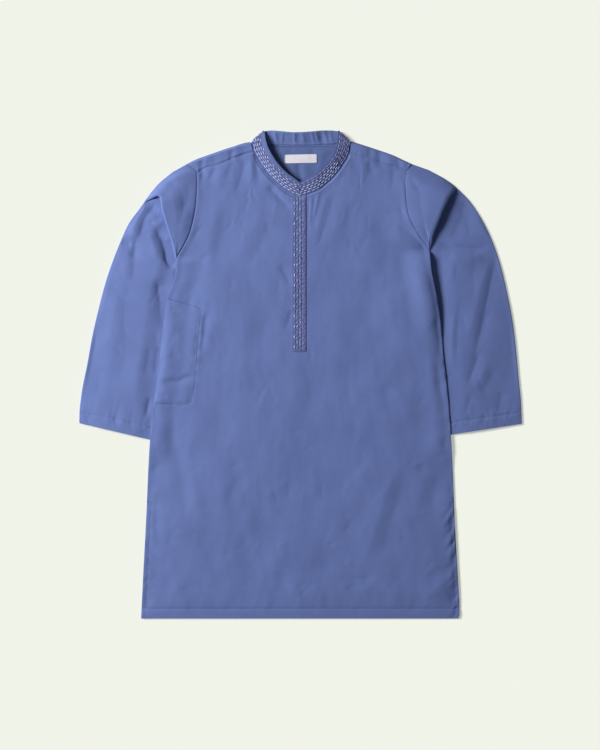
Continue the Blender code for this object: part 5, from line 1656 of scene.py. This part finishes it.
def outside_neckline(gap):
    """The front neckline moved out onto the front."""
    line = np.asarray(NECKLINE[1:-1], float)
    along = np.gradient(line, axis=0)
    return line + gap * np.stack([along[:, 1], -along[:, 0]], axis=-1) / np.hypot(*along.T)[:, None]


def long_rows(stitched):
    """The rows of stitching that front and back share: one along the hem and one up each side slit."""
    slit_y = np.linspace(HEM_Y + HEM_DEPTH, SLIT_TOP_Y + 6, 60)
    yield stitched([(x, HEM_Y + HEM_DEPTH) for x in np.linspace(-316, 316, 120)], STITCH)
    for side in SIDES:
        yield stitched(mirrored_line([(SLIT_STITCH, y) for y in slit_y], side), STITCH)


def make_sewing():
    """All the topstitching in blue thread: hem, slits, cuffs, yoke, collar, placket, pocket and neck seam."""
    def on_front(line, pitch, above=STITCH_RISE):
        return on_surface(front_z, line, pitch, above)

    hem, *slits = long_rows(on_front)
    parts = [hem]
    for side, slit in zip(SIDES, slits):
        top = mirrored_line([(0.6, SLIT_TOP_Y + 8), (SLIT_STITCH, SLIT_TOP_Y + 6)], side)
        cuff = sleeve_line(side, len(SLEEVES[side]) - 1 - CUFF_STITCH[side], lift=STITCH_RISE)
        parts += [slit, on_front(top, SLIT_END_PITCH), along_line(*cuff, STITCH)]
    thin = len(parts)
    parts.append(on_front(POCKET_LINE, POCKET_PITCH, 0.15))
    for x, y, turn in BAR_TACKS:
        ahead = BAR_TACK_HALF * np.array([np.cos(turn), np.sin(turn)])
        parts.append(on_front([(x, y) - ahead, (x, y) + ahead], BAR_TACK_PITCH))
    parts.append(on_front(outside_neckline(NECK_STITCH), NECK_PITCH, 0.1))
    x = np.arange(-70, 71, BOLD_PITCH)
    parts.append((grid_of(x, np.full_like(x, BACK_NECK_Y), np.full_like(x, BACK_NECK_Z)),
                  np.tile([1.0, 0, 0], (len(x), 1)), np.tile([0, 0, 1.0], (len(x), 1))))
    bold = len(parts)
    x, y, z, neck = yoke_rows(YOKE_BACK_ROWS, YOKE_TURN, np.array(YOKE_STITCH_PARTS))
    strip = grid_of(x, y, z)[-3:]
    up = -normals_of(strip)[1]
    for columns in (slice(3, neck.start - 1), slice(neck.stop + 1, -3)):
        parts.append(along_line(strip[1, columns] + STITCH_RISE * up[columns], up[columns], STITCH))
    for step in COLLAR_STITCH_STEPS:
        grid, facing = collar_grid([step - COLLAR_BESIDE, step, step + COLLAR_BESIDE])
        parts.append(along_line(grid[:, 1] + STITCH_RISE * facing[:, 1], facing[:, 1], BOLD_PITCH))
    left, right = PLACKET_LEFT_X - PLACKET_STITCH, PLACKET_RIGHT_X + PLACKET_STITCH
    low = PLACKET_END_Y + PLACKET_END_STITCH
    edge = [(left, 368), (left, low), (right, low), (right, 367)]
    parts.append(on_surface(placket_z, edge, BOLD_PITCH, STITCH_RISE))
    wide = [np.full(len(part[0]), BOLD_ROW if thin <= k < bold else THIN_ROW) for k, part in enumerate(parts)]
    # The dark, wide thread also paints the shade of the stitch dimples.
    return stitches("topstitching", *joined(*parts), STITCH_LONG, np.concatenate(wide), "sewing_thread",
                    "cotton")


def make_back_sewing():
    """The same stitching under the tunic, on its back: hem, side slits and yoke seam."""
    def under(line, pitch):
        centre, ahead, up = on_surface(back_z, line, pitch, -0.1)
        return centre, ahead, -up

    seam = [(x, back_top(x) - BACK_YOKE_STITCH) for x in np.linspace(-205, 210, 100)]
    parts = [*long_rows(under), under(seam, STITCH)]
    return stitches("back_topstitching", *joined(*parts), STITCH_LONG, STITCH_WIDE, "sewing_thread", "cotton")


def make_embroidery():
    """Running stitch in rows along the placket and round the collar, in four threads; the darkest paints the
    shade between the light rows.
    """
    made = {shade: [] for shade in EMBROIDERY_WIDTH}
    for x, pitch, long, start, shade in PLACKET_ROWS:
        line = [(x, PLACKET_END_Y + ROWS_END), (x, ROWS_TOP_Y)]
        made[shade].append((long, on_surface(placket_z, line, pitch, 0.3, start)))
    for step, pitch, long, start, shade, (begin, end) in COLLAR_ROWS:
        grid, facing = collar_grid([step - 0.03, step, step + 0.03])
        rows = slice(int(begin * len(grid)), int(end * len(grid)))
        lifted = grid[rows, 1] + 0.35 * facing[rows, 1]
        made[shade].append((long, along_line(lifted, facing[rows, 1], pitch, start)))
    pieces = []
    for number, (shade, rows) in enumerate(made.items()):
        centre, ahead, up = joined(*(part for _, part in rows))
        long = np.concatenate([np.full(len(part[0]), long) for long, part in rows])
        jitter = np.random.RandomState(120 + number).uniform(-1, 1, (len(centre), 4))
        sideways = np.cross(up, ahead)
        centre = centre + STRAY_ALONG * jitter[:, :1] * ahead + STRAY_ASIDE * jitter[:, 1:2] * sideways
        ahead = ahead + STRAY_TURN * jitter[:, 2:3] * sideways
        long = long * (1 + STRAY_LENGTH * jitter[:, 3])
        pieces.append(stitches(f"embroidery_{shade}", centre, ahead, up, long, EMBROIDERY_WIDTH[shade],
                               f"thread_{shade}", "band", rings=4, around=6, flat=0.6))
    return pieces


def make_label_stitching():
    """Short white stitches along both ends of the label."""
    parts = []
    count = LABEL_STITCHES
    for x in (LABEL_X[0] + LABEL_STITCH, LABEL_X[1] - LABEL_STITCH):
        y = np.linspace(LABEL_Y[0] + 1.5, LABEL_Y[1] - 1.5, count) + LABEL_SLANT * (x - np.mean(LABEL_X))
        centre = grid_of(np.full(count, x), y, np.full(count, LABEL_Z + 0.62))
        parts.append((centre, np.tile([0, 1.0, 0], (count, 1)), np.tile([0, 0, 1.0], (count, 1))))
    return stitches("label_stitching", *joined(*parts), 1.7, 0.45, "label_thread", "tape")


# --- studio -------------------------------------------------------------------------------------------


def make_floor():
    """A plain pale floor a hair below the cloth. Part of its light is its own, so it stays even."""
    half = 6.0
    mesh = bpy.data.meshes.new("floor")
    corners = [(-half, -half, FLOOR_Z), (half, -half, FLOOR_Z), (half, half, FLOOR_Z), (-half, half, FLOOR_Z)]
    mesh.from_pydata(corners, [], [(0, 1, 2, 3)])
    made, _, _ = cloth_shader(
        "studio_floor", 1.0, Base_Color=(*FLOOR_COLOUR, 1), Specular_IOR_Level=0.0,
        Emission_Color=(*FLOOR_GLOW, 1), Emission_Strength=1.0)
    mesh.materials.append(made)
    floor = bpy.data.objects.new("floor", mesh)
    bpy.context.scene.collection.objects.link(floor)


def make_studio():
    """A soft key light low on the wearer's right, an even fill all round, and the camera overhead."""
    scene = bpy.context.scene
    world = bpy.data.worlds.new("studio")
    world.use_nodes = True
    background = world.node_tree.nodes["Background"]
    background.inputs["Color"].default_value = (*FILL_COLOUR, 1)
    background.inputs["Strength"].default_value = FILL
    scene.world = world

    azimuth, elevation = np.radians(KEY_AZIMUTH), np.radians(KEY_ELEVATION)
    level = np.cos(elevation)
    toward = np.array([level * np.cos(azimuth), level * np.sin(azimuth), np.sin(elevation)])
    lamp = bpy.data.lights.new("key", "AREA")
    lamp.shape = "DISK"
    lamp.size = KEY_SIZE
    lamp.energy = KEY_POWER
    wash = bpy.data.lights.new("floor_wash", "SUN")
    wash.angle = 2 * np.arctan(KEY_SIZE / 2 / KEY_DISTANCE)
    wash.energy = WASH_POWER
    floor_only, cloth_only = (bpy.data.collections.new(name) for name in ("floor_only", "cloth_only"))
    for piece in bpy.data.objects:
        if piece.type == "MESH":
            (floor_only if piece.name == "floor" else cloth_only).objects.link(piece)
    for light, lit in ((lamp, cloth_only), (wash, floor_only)):
        light.color = KEY_COLOUR
        source = bpy.data.objects.new(light.name, light)
        source.location = KEY_DISTANCE * toward
        source.rotation_euler = (np.pi / 2 - elevation, 0, azimuth + np.pi / 2)
        source.light_linking.receiver_collection = lit
        scene.collection.objects.link(source)

    lens = bpy.data.cameras.new("overhead")
    lens.lens = lens.sensor_width * CAMERA_HEIGHT / VIEW_LENGTH
    lens.dof.use_dof = False
    lens.clip_end = 100
    camera = bpy.data.objects.new("overhead", lens)
    camera.location = (CAMERA_X, CAMERA_Y, CAMERA_HEIGHT)
    scene.collection.objects.link(camera)
    scene.camera = camera
    scene.view_settings.view_transform = "Standard"


WEAVE = weave_group()
FINISHES = {
    "cotton": woven("cotton", COTTON_BLUE, COTTON_PAINTED_SHADE, 0.82, 0.00008, 0.12, SHEEN_BLUE, Thread=0.00042,
                    Slub=0.18, Patch=0.20),
    # The band's inner faces take the lighter cotton colour: painted light on the collar's shaded inside.
    "band": woven("band", BAND_BLUE, COTTON_BLUE, 0.8, 0.00007, 0.12, SHEEN_BLUE, Thread=0.00042, Slub=0.12,
                  Patch=0.12),
    "tape": woven("tape", TAPE_WHITE_PAINTED_SHADE, TAPE_WHITE_PAINTED_SHADE, 0.55, 0.00005, 0.05, Thread=0.0005, Slub=0.08, Patch=0.03),
}
FINISHES.update((name, thread(name, *look)) for name, look in THREADS.items())

front, front_area = make_front()
back, back_area = make_back()
placket, placket_area = make_placket()
pocket, pocket_area = make_pocket()
yoke, yoke_area = make_yoke()
collar, collar_area = make_collar()
label, label_area = make_label()
sleeves = [make_sleeve(name) for name in SLEEVES]
sewing, back_sewing = make_sewing(), make_back_sewing()
embroidery = make_embroidery()
label_sewing = make_label_stitching()

declare(front, front_area, 0.655, 0.97)
declare(back, back_area, 0.655, 0.90)
declare(placket, placket_area, 0.031, 0.325)
declare(pocket, pocket_area, 0.078, 0.225)
declare(yoke, yoke_area, 0.45, 0.14)
declare(collar, collar_area, 0.47, 0.034)
declare(label, label_area, 0.0665, 0.0185)
for sleeve, area in sleeves:
    declare(sleeve, area, 0.43, 0.60)

make_floor()
make_studio()
